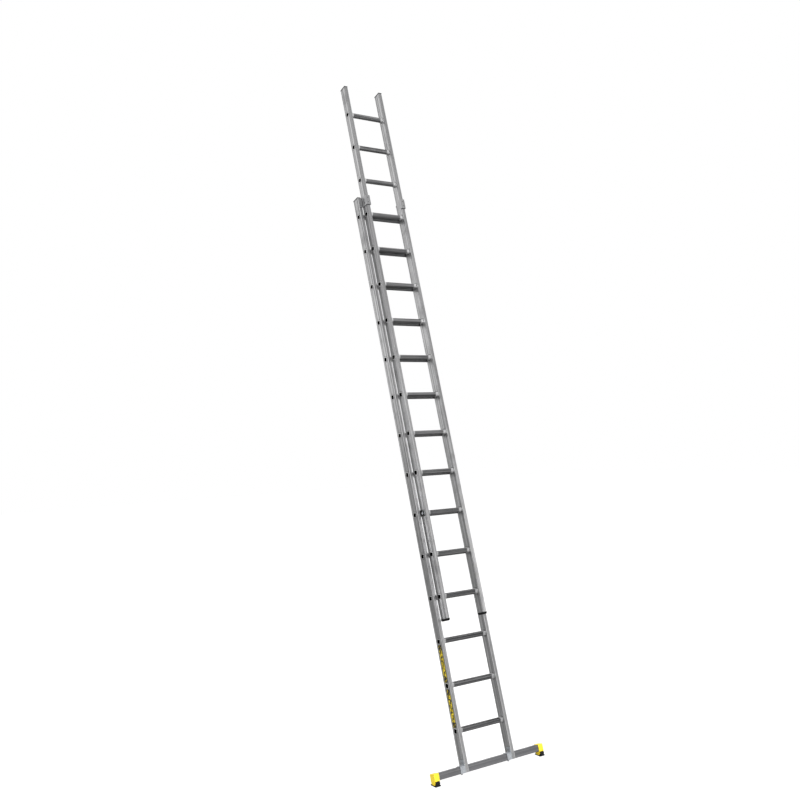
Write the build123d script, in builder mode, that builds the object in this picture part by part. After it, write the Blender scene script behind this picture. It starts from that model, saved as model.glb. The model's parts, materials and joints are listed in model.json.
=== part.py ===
from build123d import *
from math import cos, radians, sin, tan
import os

# A two-section push-up extension ladder, leaning as it stands in use.
# Frame: millimetres, +Z up, X across the ladder, +Y towards the wall.
# The origin is on the floor, midway between the feet and under the base stiles' centre line.
# "Local" sizes are measured across, behind and up along the leaning stiles.

# ---- driving dimensions -------------------------------------------------------------------
LEAN = 15.0                 # degrees from upright
RUNG_COUNT = 14             # rungs in each section
RUNG_PITCH = 280.0
RAISED = 3                  # rung spacings by which the fly section is raised

BASE_WIDTH = 400.0          # over the outer faces of the base stiles
STILE_WIDTH = 25.0
STILE_DEPTH = 66.0
STILE_SIDE_WALL = 2.2
STILE_END_WALL = 2.6        # front and rear walls
STILE_CORNER = 2.5
FLUTE_WIDTH = 5.0
FLUTE_DEPTH = 0.9
FLUTE_INSET = 8.5           # flute centre to the stile's front or rear face
GROOVE_WIDTH = 5.0          # groove down the front and rear faces
GROOVE_DEPTH = 0.9

SIDE_GAP = 10.0             # base stile's inner face to fly stile's outer face
SECTION_CLEARANCE = 2.0     # base rungs to the fly stiles' rear faces

BASE_BELOW = 248.0          # bottom of the base stiles to their first rung
BASE_ABOVE = 142.5          # last rung to the top
FLY_BELOW = 144.0
FLY_ABOVE = 228.5
FOOT_RISE = 26.0            # floor to the base stiles' lowest edge, along the stile

RUNG_DEPTH = 32.0
RUNG_HEIGHT = 30.0
RUNG_WALL = 2.0
RUNG_TOP_CORNER = 2.0
RUNG_BOTTOM_CORNER = 12.0
RUNG_FIT = 0.15             # clearance of a rung in its stile holes
TREAD_GROOVES = 8
TREAD_PITCH = 3.4
TREAD_GROOVE_WIDTH = 1.5
TREAD_GROOVE_DEPTH = 0.9
LIP_OVERLAP = 2.5           # how far the swaged ends stand out past the rung's outline
LIP_THICKNESS = 1.2         # swaged end on the stile's outer face
COLLAR_THICKNESS = 1.0      # swaged bead on the stile's inner face

CAP_OVERHANG = 1.0
CAP_PLUG = 22.0             # depth of an end cap's plug
CAP_PLUG_FIT = 0.2
CAP_ROUND = 0.9
CAP_SHOULDER = 1.5           # straight part of a cap's front and rear, before it curves
TOP_CAP_THICKNESS = 7.0
BOTTOM_CAP_THICKNESS = 15.0

GUIDE_HEIGHT = 75.0
GUIDE_BELOW_TOP = 3.0       # base stile's top to the guide bracket's top
GUIDE_THICKNESS = 3.0
GUIDE_SIDE_CLEARANCE = 0.8  # guide bracket to the swaged rung ends of the fly section
GUIDE_TAB_INSET = 3.0       # base stile's outer face to the tab's edge
GUIDE_RUNG_CLEARANCE = 2.6  # return lip's edge to the fly rungs that pass it
GUIDE_LIP_CLEARANCE = 2.0
GUIDE_SLOT_WIDTH = 10.0
GUIDE_SLOT_LENGTH = 36.0
PAD_THICKNESS = 2.6         # nylon glide pad
PAD_CLEARANCE = 0.4         # glide pad to the fly stile
PAD_WIDTH = 18.0
PAD_HEIGHT = 60.0
PAD_PEG_RADIUS = 3.0
PAD_PEG_SPACING = 36.0
PAD_PEG_PROUD = 1.0
RIVET_RADIUS = 2.5
RIVET_HEAD_RADIUS = 4.5
RIVET_HEAD_HEIGHT = 2.0
RIVET_HEAD_ROUND = 1.6
RIVET_TAIL_RADIUS = 3.5
RIVET_TAIL_LENGTH = 4.0
RIVET_EDGE = 10.0           # lower rivet to the bracket's lower edge
RIVET_BELOW_PLUG = 6.0      # end cap's plug to the upper rivet's centre line
RIVET_OUTWARDS = 3.0        # rivets to the base stile's centre line
HOLE_CLEARANCE = 0.2        # bolts and rivets in their holes

HOOK_RUNG = 3               # fly rung that carries the hooks
HOOK_CLEARANCE = 0.3        # hook to the rung under it and to the parts beside it
HOOK_HALF_HEIGHT = 17.5
HOOK_FRONT = 13.0           # pivot to the hook's front edge
HOOK_SWING_CLEARANCE = 1.0  # hook body to the caught rung while it swings
HOOK_NOSE_GAP = 1.5         # rung's rear side to the nose
HOOK_NOSE_THICKNESS = 8.0
HOOK_NOSE_DROP = 11.0       # nose below the rung's tread
HOOK_ROUND = 3.0
PIVOT_RADIUS = 6.0
PIVOT_RUNNING_FIT = 0.05
PIVOT_HEAD_RADIUS = 9.0
PIVOT_HEAD_THICKNESS = 2.4
PIVOT_HEAD_CLEARANCE = 0.5  # around the head in its recess
PIVOT_FLANGE_RADIUS = 17.0
PIVOT_FLANGE_THICKNESS = 1.8
PIVOT_PLUG_FIT = 0.3        # plug inside the hollow rung end
PIVOT_PLUG_LENGTH = 20.0

BAR_LENGTH = 872.0          # without the end caps' outer walls
BAR_HEIGHT = 40.0
BAR_DEPTH = 40.0
BAR_WALL = 2.0
BAR_CORNER = 1.5
BRACKET_THICKNESS = 3.0
BRACKET_REACH = 38.0        # along the bar, outwards from the stile
BRACKET_UPRIGHT = 36.0
BOLT_RADIUS = 4.0
BOLT_HEAD_RADIUS = 7.5      # to the hexagon's corners
BOLT_HEAD_HEIGHT = 5.3
NUT_HEIGHT = 6.5
BOLT_END = 3.0              # thread past the nut

SHOE_WALL = 3.0             # yellow bar end around the bar
SHOE_END_WALL = 4.0
SHOE_LENGTH = 37.0
SHOE_FIT = 0.2
SHOE_ROUND = 2.0
CHEEK_THICKNESS = 4.0
CHEEK_HALF_WIDTH = 20.0
CHEEK_CORNER = 9.0
CHEEK_ABOVE_FLOOR = 6.5
SOLE_TOE = 9.0              # sole's front edge ahead of the sleeve's lower front corner
SOLE_HEEL = 3.0             # sole's rear edge behind the sleeve's lower rear corner
SOLE_SHOULDER = 5.5         # sleeve's corners to the top of the sole's edges below them
SOLE_ROUND = 4.0
SOLE_SIDE_FIT = 0.2         # sole between and under the cheeks
SOLE_TREAD_OVERHANG = 2.5   # tread of the sole past the cheeks' outer faces

LABEL_THICKNESS = 0.3
LABEL_CORNER = 2.0
LABEL_SIDE_MARGIN = 3.0     # label to the stile's flutes
LABEL_END_MARGIN = 4.5      # label to the swaged rung ends above and below it

# ---- sizes that follow from them ----------------------------------------------------------
SIDES = {"left": -1, "right": 1}
FLY_WIDTH = BASE_WIDTH - 2 * (STILE_WIDTH + SIDE_GAP)
RUNG_REACH = RUNG_DEPTH / 2 * cos(radians(LEAN)) + RUNG_HEIGHT / 2 * sin(radians(LEAN))
FLY_Y = -(STILE_DEPTH / 2 + RUNG_REACH + SECTION_CLEARANCE)
BASE_FIRST_RUNG = FOOT_RISE + BASE_BELOW
FLY_FIRST_RUNG = BASE_FIRST_RUNG + RAISED * RUNG_PITCH
SECTION_SPAN = (RUNG_COUNT - 1) * RUNG_PITCH
BASE_TOP = BASE_FIRST_RUNG + SECTION_SPAN + BASE_ABOVE
FLY_BOTTOM = FLY_FIRST_RUNG - FLY_BELOW
FLY_TOP = FLY_FIRST_RUNG + SECTION_SPAN + FLY_ABOVE
BASE_STILE_X = (BASE_WIDTH - STILE_WIDTH) / 2
FLY_STILE_X = (FLY_WIDTH - STILE_WIDTH) / 2
BAR_TOP = FOOT_RISE + BAR_HEIGHT
BAR_FRONT = -STILE_DEPTH / 2 + STILE_END_WALL
BAR_Y = BAR_FRONT + BAR_DEPTH / 2
RIVET_SPACING = GUIDE_BELOW_TOP + GUIDE_HEIGHT - RIVET_EDGE - CAP_PLUG - RIVET_BELOW_PLUG
HOOK_Z = FLY_FIRST_RUNG + (HOOK_RUNG - 1) * RUNG_PITCH
HOOK_OUTER_X = BASE_WIDTH / 2 - STILE_WIDTH - COLLAR_THICKNESS - HOOK_CLEARANCE
PIVOT_FLANGE_X = FLY_WIDTH / 2 + LIP_THICKNESS + PIVOT_FLANGE_THICKNESS
HOOK_INNER_X = PIVOT_FLANGE_X + HOOK_CLEARANCE
PIVOT_PLUG_RADIUS = min(RUNG_HEIGHT, RUNG_DEPTH) / 2 - RUNG_WALL - PIVOT_PLUG_FIT
LABEL_WIDTH = STILE_DEPTH - 2 * FLUTE_INSET - FLUTE_WIDTH - 2 * LABEL_SIDE_MARGIN
LABEL_LENGTH = RUNG_PITCH - RUNG_HEIGHT - 2 * LIP_OVERLAP - 2 * LABEL_END_MARGIN

LADDER = Plane(
    origin=(0, 0, 0),
    x_dir=(1, 0, 0),
    z_dir=(0, sin(radians(LEAN)), cos(radians(LEAN))),
)
UP_THE_STILES = Axis(LADDER.origin, LADDER.z_dir)


# ---- planes in the leaning ladder ---------------------------------------------------------
def place(x, y, z):
    """The point at local (x, y, z) in the leaning ladder."""
    return LADDER.from_local_coords(Vector(x, y, z))


def level(x, y, z):
    """A plane square to the stiles: X across, Y to the rear, normal up along the stiles."""
    return Plane(origin=place(x, y, z), x_dir=LADDER.x_dir, z_dir=LADDER.z_dir)


def side(x, y, z):
    """A plane facing +X that leans with the ladder: X to the rear, Y up along the stiles."""
    return Plane(origin=place(x, y, z), x_dir=LADDER.y_dir, z_dir=LADDER.x_dir)


def upright_side(x, y, z):
    """A plane facing +X at local (x, y, z) whose Y is truly upright, as the treads need."""
    return Plane(origin=place(x, y, z), x_dir=(0, 1, 0), z_dir=(1, 0, 0))


def front(x, y, z):
    """A plane facing the climber: X across, Y up along the stiles."""
    return Plane(origin=place(x, y, z), x_dir=LADDER.x_dir, z_dir=-LADDER.y_dir)


def save(solid, name):
    """Label a finished piece and write its file."""
    solid.label = name
    export_step(solid, f"parts/{name}.step")


# ---- shared outlines ----------------------------------------------------------------------
def stile_section():
    """Hollow box section with two flutes down each side and a groove front and rear."""
    with BuildSketch() as section:
        RectangleRounded(STILE_WIDTH, STILE_DEPTH, STILE_CORNER)
        with GridLocations(STILE_WIDTH, STILE_DEPTH - 2 * FLUTE_INSET, 2, 2):
            Rectangle(2 * FLUTE_DEPTH, FLUTE_WIDTH, mode=Mode.SUBTRACT)
        with GridLocations(0, STILE_DEPTH, 1, 2):
            Rectangle(GROOVE_WIDTH, 2 * GROOVE_DEPTH, mode=Mode.SUBTRACT)
        Rectangle(STILE_WIDTH - 2 * STILE_SIDE_WALL, STILE_DEPTH - 2 * STILE_END_WALL, mode=Mode.SUBTRACT)
    return section.sketch


def rung_outline(margin):
    """D-shaped outline of a rung with a flat tread on top, grown by a margin."""
    with BuildSketch() as outline:
        Rectangle(RUNG_DEPTH + 2 * margin, RUNG_HEIGHT + 2 * margin)
        corners = outline.vertices().group_by(Axis.Y)
        fillet(corners[-1], RUNG_TOP_CORNER + max(margin, 0))
        lower = outline.vertices().group_by(Axis.Y)[0]
        fillet(lower, RUNG_BOTTOM_CORNER + margin)
    return outline.sketch


def tread_grooves():
    """The row of small grooves along the tread."""
    with BuildSketch() as grooves:
        with Locations((0, RUNG_HEIGHT / 2)):
            with GridLocations(TREAD_PITCH, 0, TREAD_GROOVES, 1):
                Rectangle(TREAD_GROOVE_WIDTH, 2 * TREAD_GROOVE_DEPTH)
    return grooves.sketch


# ---- stiles -------------------------------------------------------------------------------
def rung_hole_tools(x, y, first_rung):
    """The solids that cut a stile's rung holes."""
    tools = []
    for number in range(RUNG_COUNT):
        with BuildPart() as tool:
            with BuildSketch(upright_side(x, y, first_rung + number * RUNG_PITCH)):
                add(rung_outline(RUNG_FIT))
            extrude(amount=STILE_WIDTH, both=True)
        tools.append(tool.part)
    return tools


def base_stile(hand):
    """Base section stile, notched at its foot so that its front wall laps the bar."""
    x = hand * BASE_STILE_X
    holes = rung_hole_tools(x, 0, BASE_FIRST_RUNG)
    with BuildPart() as stile:
        with BuildSketch(level(x, 0, FOOT_RISE)):
            add(stile_section())
        extrude(amount=BASE_TOP - FOOT_RISE)
        with BuildSketch(level(x, BAR_FRONT + STILE_DEPTH / 2, FOOT_RISE)):
            Rectangle(2 * STILE_WIDTH, STILE_DEPTH)
        extrude(amount=BAR_HEIGHT, mode=Mode.SUBTRACT)
        for hole in holes:
            add(hole, mode=Mode.SUBTRACT)
        with BuildSketch(side(x, BAR_Y, BAR_TOP + BRACKET_UPRIGHT / 2)):
            Circle(BOLT_RADIUS + HOLE_CLEARANCE)
        extrude(amount=STILE_WIDTH, both=True, mode=Mode.SUBTRACT)
        with BuildSketch(front(x, -STILE_DEPTH / 2, rivet_middle())):
            with Locations((hand * RIVET_OUTWARDS, 0)):
                with GridLocations(0, RIVET_SPACING, 1, 2):
                    Circle(RIVET_RADIUS + HOLE_CLEARANCE)
        extrude(amount=2 * STILE_END_WALL, both=True, mode=Mode.SUBTRACT)
    return stile.part


def fly_stile(hand):
    """Fly section stile."""
    x = hand * FLY_STILE_X
    holes = rung_hole_tools(x, FLY_Y, FLY_FIRST_RUNG)
    with BuildPart() as stile:
        with BuildSketch(level(x, FLY_Y, FLY_BOTTOM)):
            add(stile_section())
        extrude(amount=FLY_TOP - FLY_BOTTOM)
        for hole in holes:
            add(hole, mode=Mode.SUBTRACT)
    return stile.part


# ---- rungs --------------------------------------------------------------------------------
def rung(width, y, z):
    """Hollow rung swaged into two stiles: a lip outside each and a bead inside each."""
    half = width / 2
    inner = half - STILE_WIDTH
    with BuildPart() as tube:
        with BuildSketch(upright_side(-half - LIP_THICKNESS, y, z)):
            add(rung_outline(0))
            add(tread_grooves(), mode=Mode.SUBTRACT)
        extrude(amount=width + 2 * LIP_THICKNESS)
        for start, thickness in (
            (-half - LIP_THICKNESS, LIP_THICKNESS),
            (half, LIP_THICKNESS),
            (-inner, COLLAR_THICKNESS),
            (inner - COLLAR_THICKNESS, COLLAR_THICKNESS),
        ):
            with BuildSketch(upright_side(start, y, z)):
                add(rung_outline(LIP_OVERLAP))
            extrude(amount=thickness)
        with BuildSketch(upright_side(-half - LIP_THICKNESS, y, z)):
            add(rung_outline(-RUNG_WALL))
        extrude(amount=width + 2 * LIP_THICKNESS, mode=Mode.SUBTRACT)
    return tube.part


# ---- end caps -----------------------------------------------------------------------------
def end_cap(x, y, z, thickness, upwards):
    """Moulded cap on a stile's end: a head curved from front to rear, and a plug in the stile."""
    direction = 1 if upwards else -1
    half_width = STILE_WIDTH / 2 + CAP_OVERHANG
    with BuildPart() as cap:
        with BuildSketch(side(x - half_width, y, z + direction * thickness / 2)) as profile:
            Rectangle(STILE_DEPTH + 2 * CAP_OVERHANG, thickness)
            outer = profile.vertices().group_by(Axis.Y)[-1 if upwards else 0]
            fillet(outer, thickness - CAP_SHOULDER)
        extrude(amount=2 * half_width)
        for face in cap.faces().sort_by(Axis.X)[:: len(cap.faces()) - 1]:
            seat = face.edges().sort_by(UP_THE_STILES)[0 if upwards else -1]
            fillet([edge for edge in face.edges() if edge != seat], CAP_ROUND)
        with BuildSketch(level(x, y, z)):
            Rectangle(
                STILE_WIDTH - 2 * STILE_SIDE_WALL - 2 * CAP_PLUG_FIT,
                STILE_DEPTH - 2 * STILE_END_WALL - 2 * CAP_PLUG_FIT,
            )
        extrude(amount=-direction * CAP_PLUG)
    return cap.part


# ---- guide brackets at the top of the base section -----------------------------------------
def guide_middle():
    """Local height of the guide brackets' middle."""
    return BASE_TOP - GUIDE_BELOW_TOP - GUIDE_HEIGHT / 2


def rivet_middle():
    """Local height midway between a bracket's two rivets, clear of the end cap's plug."""
    return BASE_TOP - CAP_PLUG - RIVET_BELOW_PLUG - RIVET_SPACING / 2


def guide_side_x():
    """Distance of the bracket's side plate, its face next to the fly stile, from the middle."""
    return FLY_WIDTH / 2 + LIP_THICKNESS + GUIDE_SIDE_CLEARANCE


def guide_front_y():
    """Local Y of the bracket's front plate, its face next to the fly stile."""
    return FLY_Y - STILE_DEPTH / 2 - PAD_CLEARANCE - PAD_THICKNESS


def guide_lip_x():
    """Distance of the return lip, its face next to the fly stile, from the middle."""
    return FLY_WIDTH / 2 - STILE_WIDTH - COLLAR_THICKNESS - GUIDE_LIP_CLEARANCE


def guide_bracket(hand):
    """Bent bracket riveted to the base stile, which wraps the fly stile's side and front."""
    tab_y = -STILE_DEPTH / 2
    outer_x = hand * (BASE_WIDTH / 2 - GUIDE_TAB_INSET)
    side_x = hand * guide_side_x()
    lip_x = hand * guide_lip_x()
    front_y = guide_front_y()
    lip_y = FLY_Y - RUNG_REACH - GUIDE_RUNG_CLEARANCE
    t = GUIDE_THICKNESS
    out = hand * t
    with BuildPart() as bracket:
        with BuildSketch(level(0, 0, guide_middle())):
            with BuildLine():
                Polyline(
                    (outer_x, tab_y),
                    (side_x, tab_y),
                    (side_x, front_y),
                    (lip_x, front_y),
                    (lip_x, lip_y),
                    (lip_x - out, lip_y),
                    (lip_x - out, front_y - t),
                    (side_x + out, front_y - t),
                    (side_x + out, tab_y - t),
                    (outer_x, tab_y - t),
                    close=True,
                )
            make_face()
        extrude(amount=GUIDE_HEIGHT / 2, both=True)
        with BuildSketch(side(side_x, (tab_y + front_y) / 2, guide_middle())):
            SlotOverall(GUIDE_SLOT_LENGTH, GUIDE_SLOT_WIDTH, rotation=90)
        extrude(amount=2 * t, both=True, mode=Mode.SUBTRACT)
        with BuildSketch(front(hand * BASE_STILE_X, tab_y, rivet_middle())):
            with Locations((hand * RIVET_OUTWARDS, 0)):
                with GridLocations(0, RIVET_SPACING, 1, 2):
                    Circle(RIVET_RADIUS + HOLE_CLEARANCE)
        extrude(amount=2 * t, both=True, mode=Mode.SUBTRACT)
        with BuildSketch(front(hand * FLY_STILE_X, front_y, guide_middle())):
            with GridLocations(0, PAD_PEG_SPACING, 1, 2):
                Circle(PAD_PEG_RADIUS)
        extrude(amount=2 * t, both=True, mode=Mode.SUBTRACT)
    return bracket.part


def glide_pad(hand):
    """Nylon pad inside the bracket's front plate, held by two pegs through it."""
    plane = front(hand * FLY_STILE_X, guide_front_y(), guide_middle())
    with BuildPart() as pad:
        with BuildSketch(plane):
            RectangleRounded(PAD_WIDTH, PAD_HEIGHT, PAD_PEG_RADIUS)
        extrude(amount=-PAD_THICKNESS)
        with BuildSketch(plane):
            with GridLocations(0, PAD_PEG_SPACING, 1, 2):
                Circle(PAD_PEG_RADIUS)
        extrude(amount=GUIDE_THICKNESS + PAD_PEG_PROUD)
    return pad.part


def guide_rivets():
    """The four rivets that hold the two guide brackets, as separate solids."""
    rivets = []
    face_y = -STILE_DEPTH / 2 - GUIDE_THICKNESS
    grip = GUIDE_THICKNESS + STILE_END_WALL
    for hand in SIDES.values():
        for way in (-1, 1):
            x = hand * (BASE_STILE_X + RIVET_OUTWARDS)
            plane = front(x, face_y, rivet_middle() + way * RIVET_SPACING / 2)
            with BuildPart() as rivet:
                with BuildSketch(plane):
                    Circle(RIVET_HEAD_RADIUS)
                extrude(amount=RIVET_HEAD_HEIGHT)
                rim = rivet.edges().sort_by(Axis(plane.origin, plane.z_dir))[-1]
                fillet(rim, RIVET_HEAD_ROUND)
                with BuildSketch(plane):
                    Circle(RIVET_RADIUS)
                extrude(amount=-grip)
                with BuildSketch(plane.offset(-grip)):
                    Circle(RIVET_TAIL_RADIUS)
                extrude(amount=-RIVET_TAIL_LENGTH)
            rivets.append(rivet.part)
    return rivets


# ---- hooks --------------------------------------------------------------------------------
def hook(hand):
    """Pivoting hook in the gap between the stiles, whose nose catches a base rung."""
    pivot_y = FLY_Y * cos(radians(LEAN))
    pivot_z = -FLY_Y * sin(radians(LEAN))
    tread = RUNG_HEIGHT / 2
    swing = -RUNG_DEPTH / 2 - pivot_y - HOOK_SWING_CLEARANCE
    nose_y = RUNG_DEPTH / 2 + HOOK_NOSE_GAP
    tip_y = nose_y + HOOK_NOSE_THICKNESS
    arm_low = tread + HOOK_CLEARANCE
    arm_high = pivot_z + HOOK_HALF_HEIGHT
    thickness = HOOK_OUTER_X - HOOK_INNER_X
    with BuildPart() as catch:
        with BuildSketch(upright_side(hand * HOOK_INNER_X, 0, HOOK_Z)) as outline:
            with Locations((pivot_y, pivot_z)):
                Circle(swing)
                Rectangle(2 * swing, 2 * HOOK_HALF_HEIGHT, mode=Mode.INTERSECT)
            with Locations((pivot_y - HOOK_FRONT, pivot_z)):
                Rectangle(swing, 4 * HOOK_HALF_HEIGHT, align=(Align.MAX, Align.CENTER), mode=Mode.SUBTRACT)
            with BuildLine():
                Polyline(
                    (pivot_y, arm_low),
                    (nose_y, arm_low),
                    (nose_y, tread - HOOK_NOSE_DROP),
                    (tip_y, tread - HOOK_NOSE_DROP),
                    (tip_y, arm_high),
                    (pivot_y, arm_high),
                    close=True,
                )
            make_face()
            corners = outline.vertices().sort_by(Axis.X)
            fillet(corners[:2] + corners[-2:], HOOK_ROUND)
        extrude(amount=hand * thickness)
        with BuildSketch(side(hand * HOOK_INNER_X, FLY_Y, HOOK_Z)):
            Circle(PIVOT_RADIUS + PIVOT_RUNNING_FIT)
        extrude(amount=hand * thickness, mode=Mode.SUBTRACT)
        with BuildSketch(side(hand * HOOK_OUTER_X, FLY_Y, HOOK_Z)):
            Circle(PIVOT_HEAD_RADIUS + PIVOT_HEAD_CLEARANCE)
        extrude(amount=-hand * (PIVOT_HEAD_THICKNESS + HOOK_CLEARANCE), mode=Mode.SUBTRACT)
    return catch.part


def pivot_pin(hand):
    """Hook pivot: a plug in the hollow rung end, a flange on its lip, a shank and a head."""
    lip_x = FLY_WIDTH / 2 + LIP_THICKNESS
    head_x = HOOK_OUTER_X - PIVOT_HEAD_THICKNESS
    with BuildPart() as pin:
        with BuildSketch(side(hand * lip_x, FLY_Y, HOOK_Z)):
            Circle(PIVOT_PLUG_RADIUS)
        extrude(amount=-hand * PIVOT_PLUG_LENGTH)
        with BuildSketch(side(hand * lip_x, FLY_Y, HOOK_Z)):
            Circle(PIVOT_FLANGE_RADIUS)
        extrude(amount=hand * PIVOT_FLANGE_THICKNESS)
        with BuildSketch(side(hand * PIVOT_FLANGE_X, FLY_Y, HOOK_Z)):
            Circle(PIVOT_RADIUS)
        extrude(amount=hand * (head_x - PIVOT_FLANGE_X))
        with BuildSketch(side(hand * head_x, FLY_Y, HOOK_Z)):
            Circle(PIVOT_HEAD_RADIUS)
        extrude(amount=hand * PIVOT_HEAD_THICKNESS)
    return pin.part


# ---- stabiliser bar -----------------------------------------------------------------------
def bracket_start_x(hand):
    """Left face of a base stile, from which its bracket reaches to the left."""
    return hand * BASE_STILE_X - STILE_WIDTH / 2


def bracket_bolt_x(hand):
    """X of the upright bolt through a bracket and the bar."""
    return bracket_start_x(hand) - (BRACKET_REACH + BRACKET_THICKNESS) / 2


def stabiliser_bar():
    """Rectangular tube under the base stiles, with an upright bolt hole at each bracket."""
    with BuildPart() as bar:
        with BuildSketch(side(-BAR_LENGTH / 2, BAR_Y, FOOT_RISE + BAR_HEIGHT / 2)):
            RectangleRounded(BAR_DEPTH, BAR_HEIGHT, BAR_CORNER)
            Rectangle(BAR_DEPTH - 2 * BAR_WALL, BAR_HEIGHT - 2 * BAR_WALL, mode=Mode.SUBTRACT)
        extrude(amount=BAR_LENGTH)
        for hand in SIDES.values():
            with BuildSketch(level(bracket_bolt_x(hand), BAR_Y, FOOT_RISE)):
                Circle(BOLT_RADIUS + HOLE_CLEARANCE)
            extrude(amount=BAR_HEIGHT, mode=Mode.SUBTRACT)
    return bar.part


def bar_bracket(hand):
    """Bent bracket: over the bar's front and top, and up the stile's left face."""
    t = BRACKET_THICKNESS
    start = bracket_start_x(hand)
    with BuildPart() as bracket:
        with BuildSketch(side(start, BAR_FRONT, FOOT_RISE)):
            with BuildLine():
                Polyline(
                    (-t, 0),
                    (0, 0),
                    (0, BAR_HEIGHT),
                    (BAR_DEPTH, BAR_HEIGHT),
                    (BAR_DEPTH, BAR_HEIGHT + t),
                    (-t, BAR_HEIGHT + t),
                    close=True,
                )
            make_face()
        extrude(amount=-BRACKET_REACH)
        with BuildSketch(side(start, BAR_Y, BAR_TOP)):
            Rectangle(BAR_DEPTH, BRACKET_UPRIGHT, align=(Align.CENTER, Align.MIN))
            with Locations((0, BRACKET_UPRIGHT / 2)):
                Circle(BOLT_RADIUS + HOLE_CLEARANCE, mode=Mode.SUBTRACT)
        extrude(amount=-t)
        with BuildSketch(level(bracket_bolt_x(hand), BAR_Y, BAR_TOP)):
            Circle(BOLT_RADIUS + HOLE_CLEARANCE)
        extrude(amount=2 * t, mode=Mode.SUBTRACT)
    return bracket.part


def bolt(plane, grip):
    """Hexagon-head bolt whose head stands on the plane and whose shank goes down."""
    with BuildPart() as screw:
        with BuildSketch(plane):
            RegularPolygon(BOLT_HEAD_RADIUS, 6)
        extrude(amount=BOLT_HEAD_HEIGHT)
        with BuildSketch(plane):
            Circle(BOLT_RADIUS)
        extrude(amount=-(grip + NUT_HEIGHT + BOLT_END))
    return screw.part


def nut(plane):
    """Hexagon nut whose face is on the plane and which stands up from it."""
    with BuildPart() as ring:
        with BuildSketch(plane):
            RegularPolygon(BOLT_HEAD_RADIUS, 6)
            Circle(BOLT_RADIUS, mode=Mode.SUBTRACT)
        extrude(amount=NUT_HEIGHT)
    return ring.part


def bracket_fasteners():
    """Two bolts and two nuts at each bracket, as separate solids."""
    bolts = []
    nuts = []
    for hand in SIDES.values():
        top = level(bracket_bolt_x(hand), BAR_Y, BAR_TOP + BRACKET_THICKNESS)
        under = level(bracket_bolt_x(hand), BAR_Y, FOOT_RISE)
        bolts.append(bolt(top, BAR_HEIGHT + BRACKET_THICKNESS))
        nuts.append(nut(Plane(origin=under.origin, x_dir=under.x_dir, z_dir=-under.z_dir)))
        z = BAR_TOP + BRACKET_UPRIGHT / 2
        near = place(bracket_start_x(hand) - BRACKET_THICKNESS, BAR_Y, z)
        far = place(bracket_start_x(hand) + STILE_WIDTH, BAR_Y, z)
        left = Plane(origin=near, x_dir=LADDER.z_dir, z_dir=-LADDER.x_dir)
        bolts.append(bolt(left, STILE_WIDTH + BRACKET_THICKNESS))
        nuts.append(nut(Plane(origin=far, x_dir=LADDER.z_dir, z_dir=LADDER.x_dir)))
    return bolts, nuts


# ---- bar ends -----------------------------------------------------------------------------
def shoe_bottom():
    """Local height of the underside of a bar end's sleeve."""
    return FOOT_RISE - SHOE_WALL


def in_upright(y, z):
    """Upright (Y, Z) of the local point (y, z) in a plane across the middle of the ladder."""
    point = place(0, y, z)
    return (point.Y, point.Z)


def bar_end(hand):
    """Moulded bar end: a sleeve on the bar with two rounded cheeks that hold the sole."""
    outer_x = hand * (BAR_LENGTH / 2 + SHOE_END_WALL)
    inner_x = outer_x - hand * SHOE_LENGTH
    middle_z = FOOT_RISE + BAR_HEIGHT / 2
    centre_y, sleeve_z = in_upright(BAR_Y, shoe_bottom())
    top = sleeve_z + CHEEK_HALF_WIDTH * tan(radians(LEAN))
    with BuildPart() as shoe:
        with BuildSketch(side(outer_x, BAR_Y, middle_z)):
            RectangleRounded(BAR_DEPTH + 2 * SHOE_WALL, BAR_HEIGHT + 2 * SHOE_WALL, SHOE_ROUND)
        extrude(amount=-hand * SHOE_LENGTH)
        for x, way in ((outer_x, -hand), (inner_x, hand)):
            with BuildSketch(Plane.YZ.offset(x)) as cheek:
                with Locations((centre_y, CHEEK_ABOVE_FLOOR)):
                    Rectangle(
                        2 * CHEEK_HALF_WIDTH, top - CHEEK_ABOVE_FLOOR, align=(Align.CENTER, Align.MIN)
                    )
                fillet(cheek.vertices().group_by(Axis.Y)[0], CHEEK_CORNER)
            extrude(amount=way * CHEEK_THICKNESS)
        with BuildSketch(side(hand * BAR_LENGTH / 2, BAR_Y, middle_z)):
            Rectangle(BAR_DEPTH + 2 * SHOE_FIT, BAR_HEIGHT + 2 * SHOE_FIT)
        extrude(amount=-hand * SHOE_LENGTH, mode=Mode.SUBTRACT)
    return shoe.part


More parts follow.
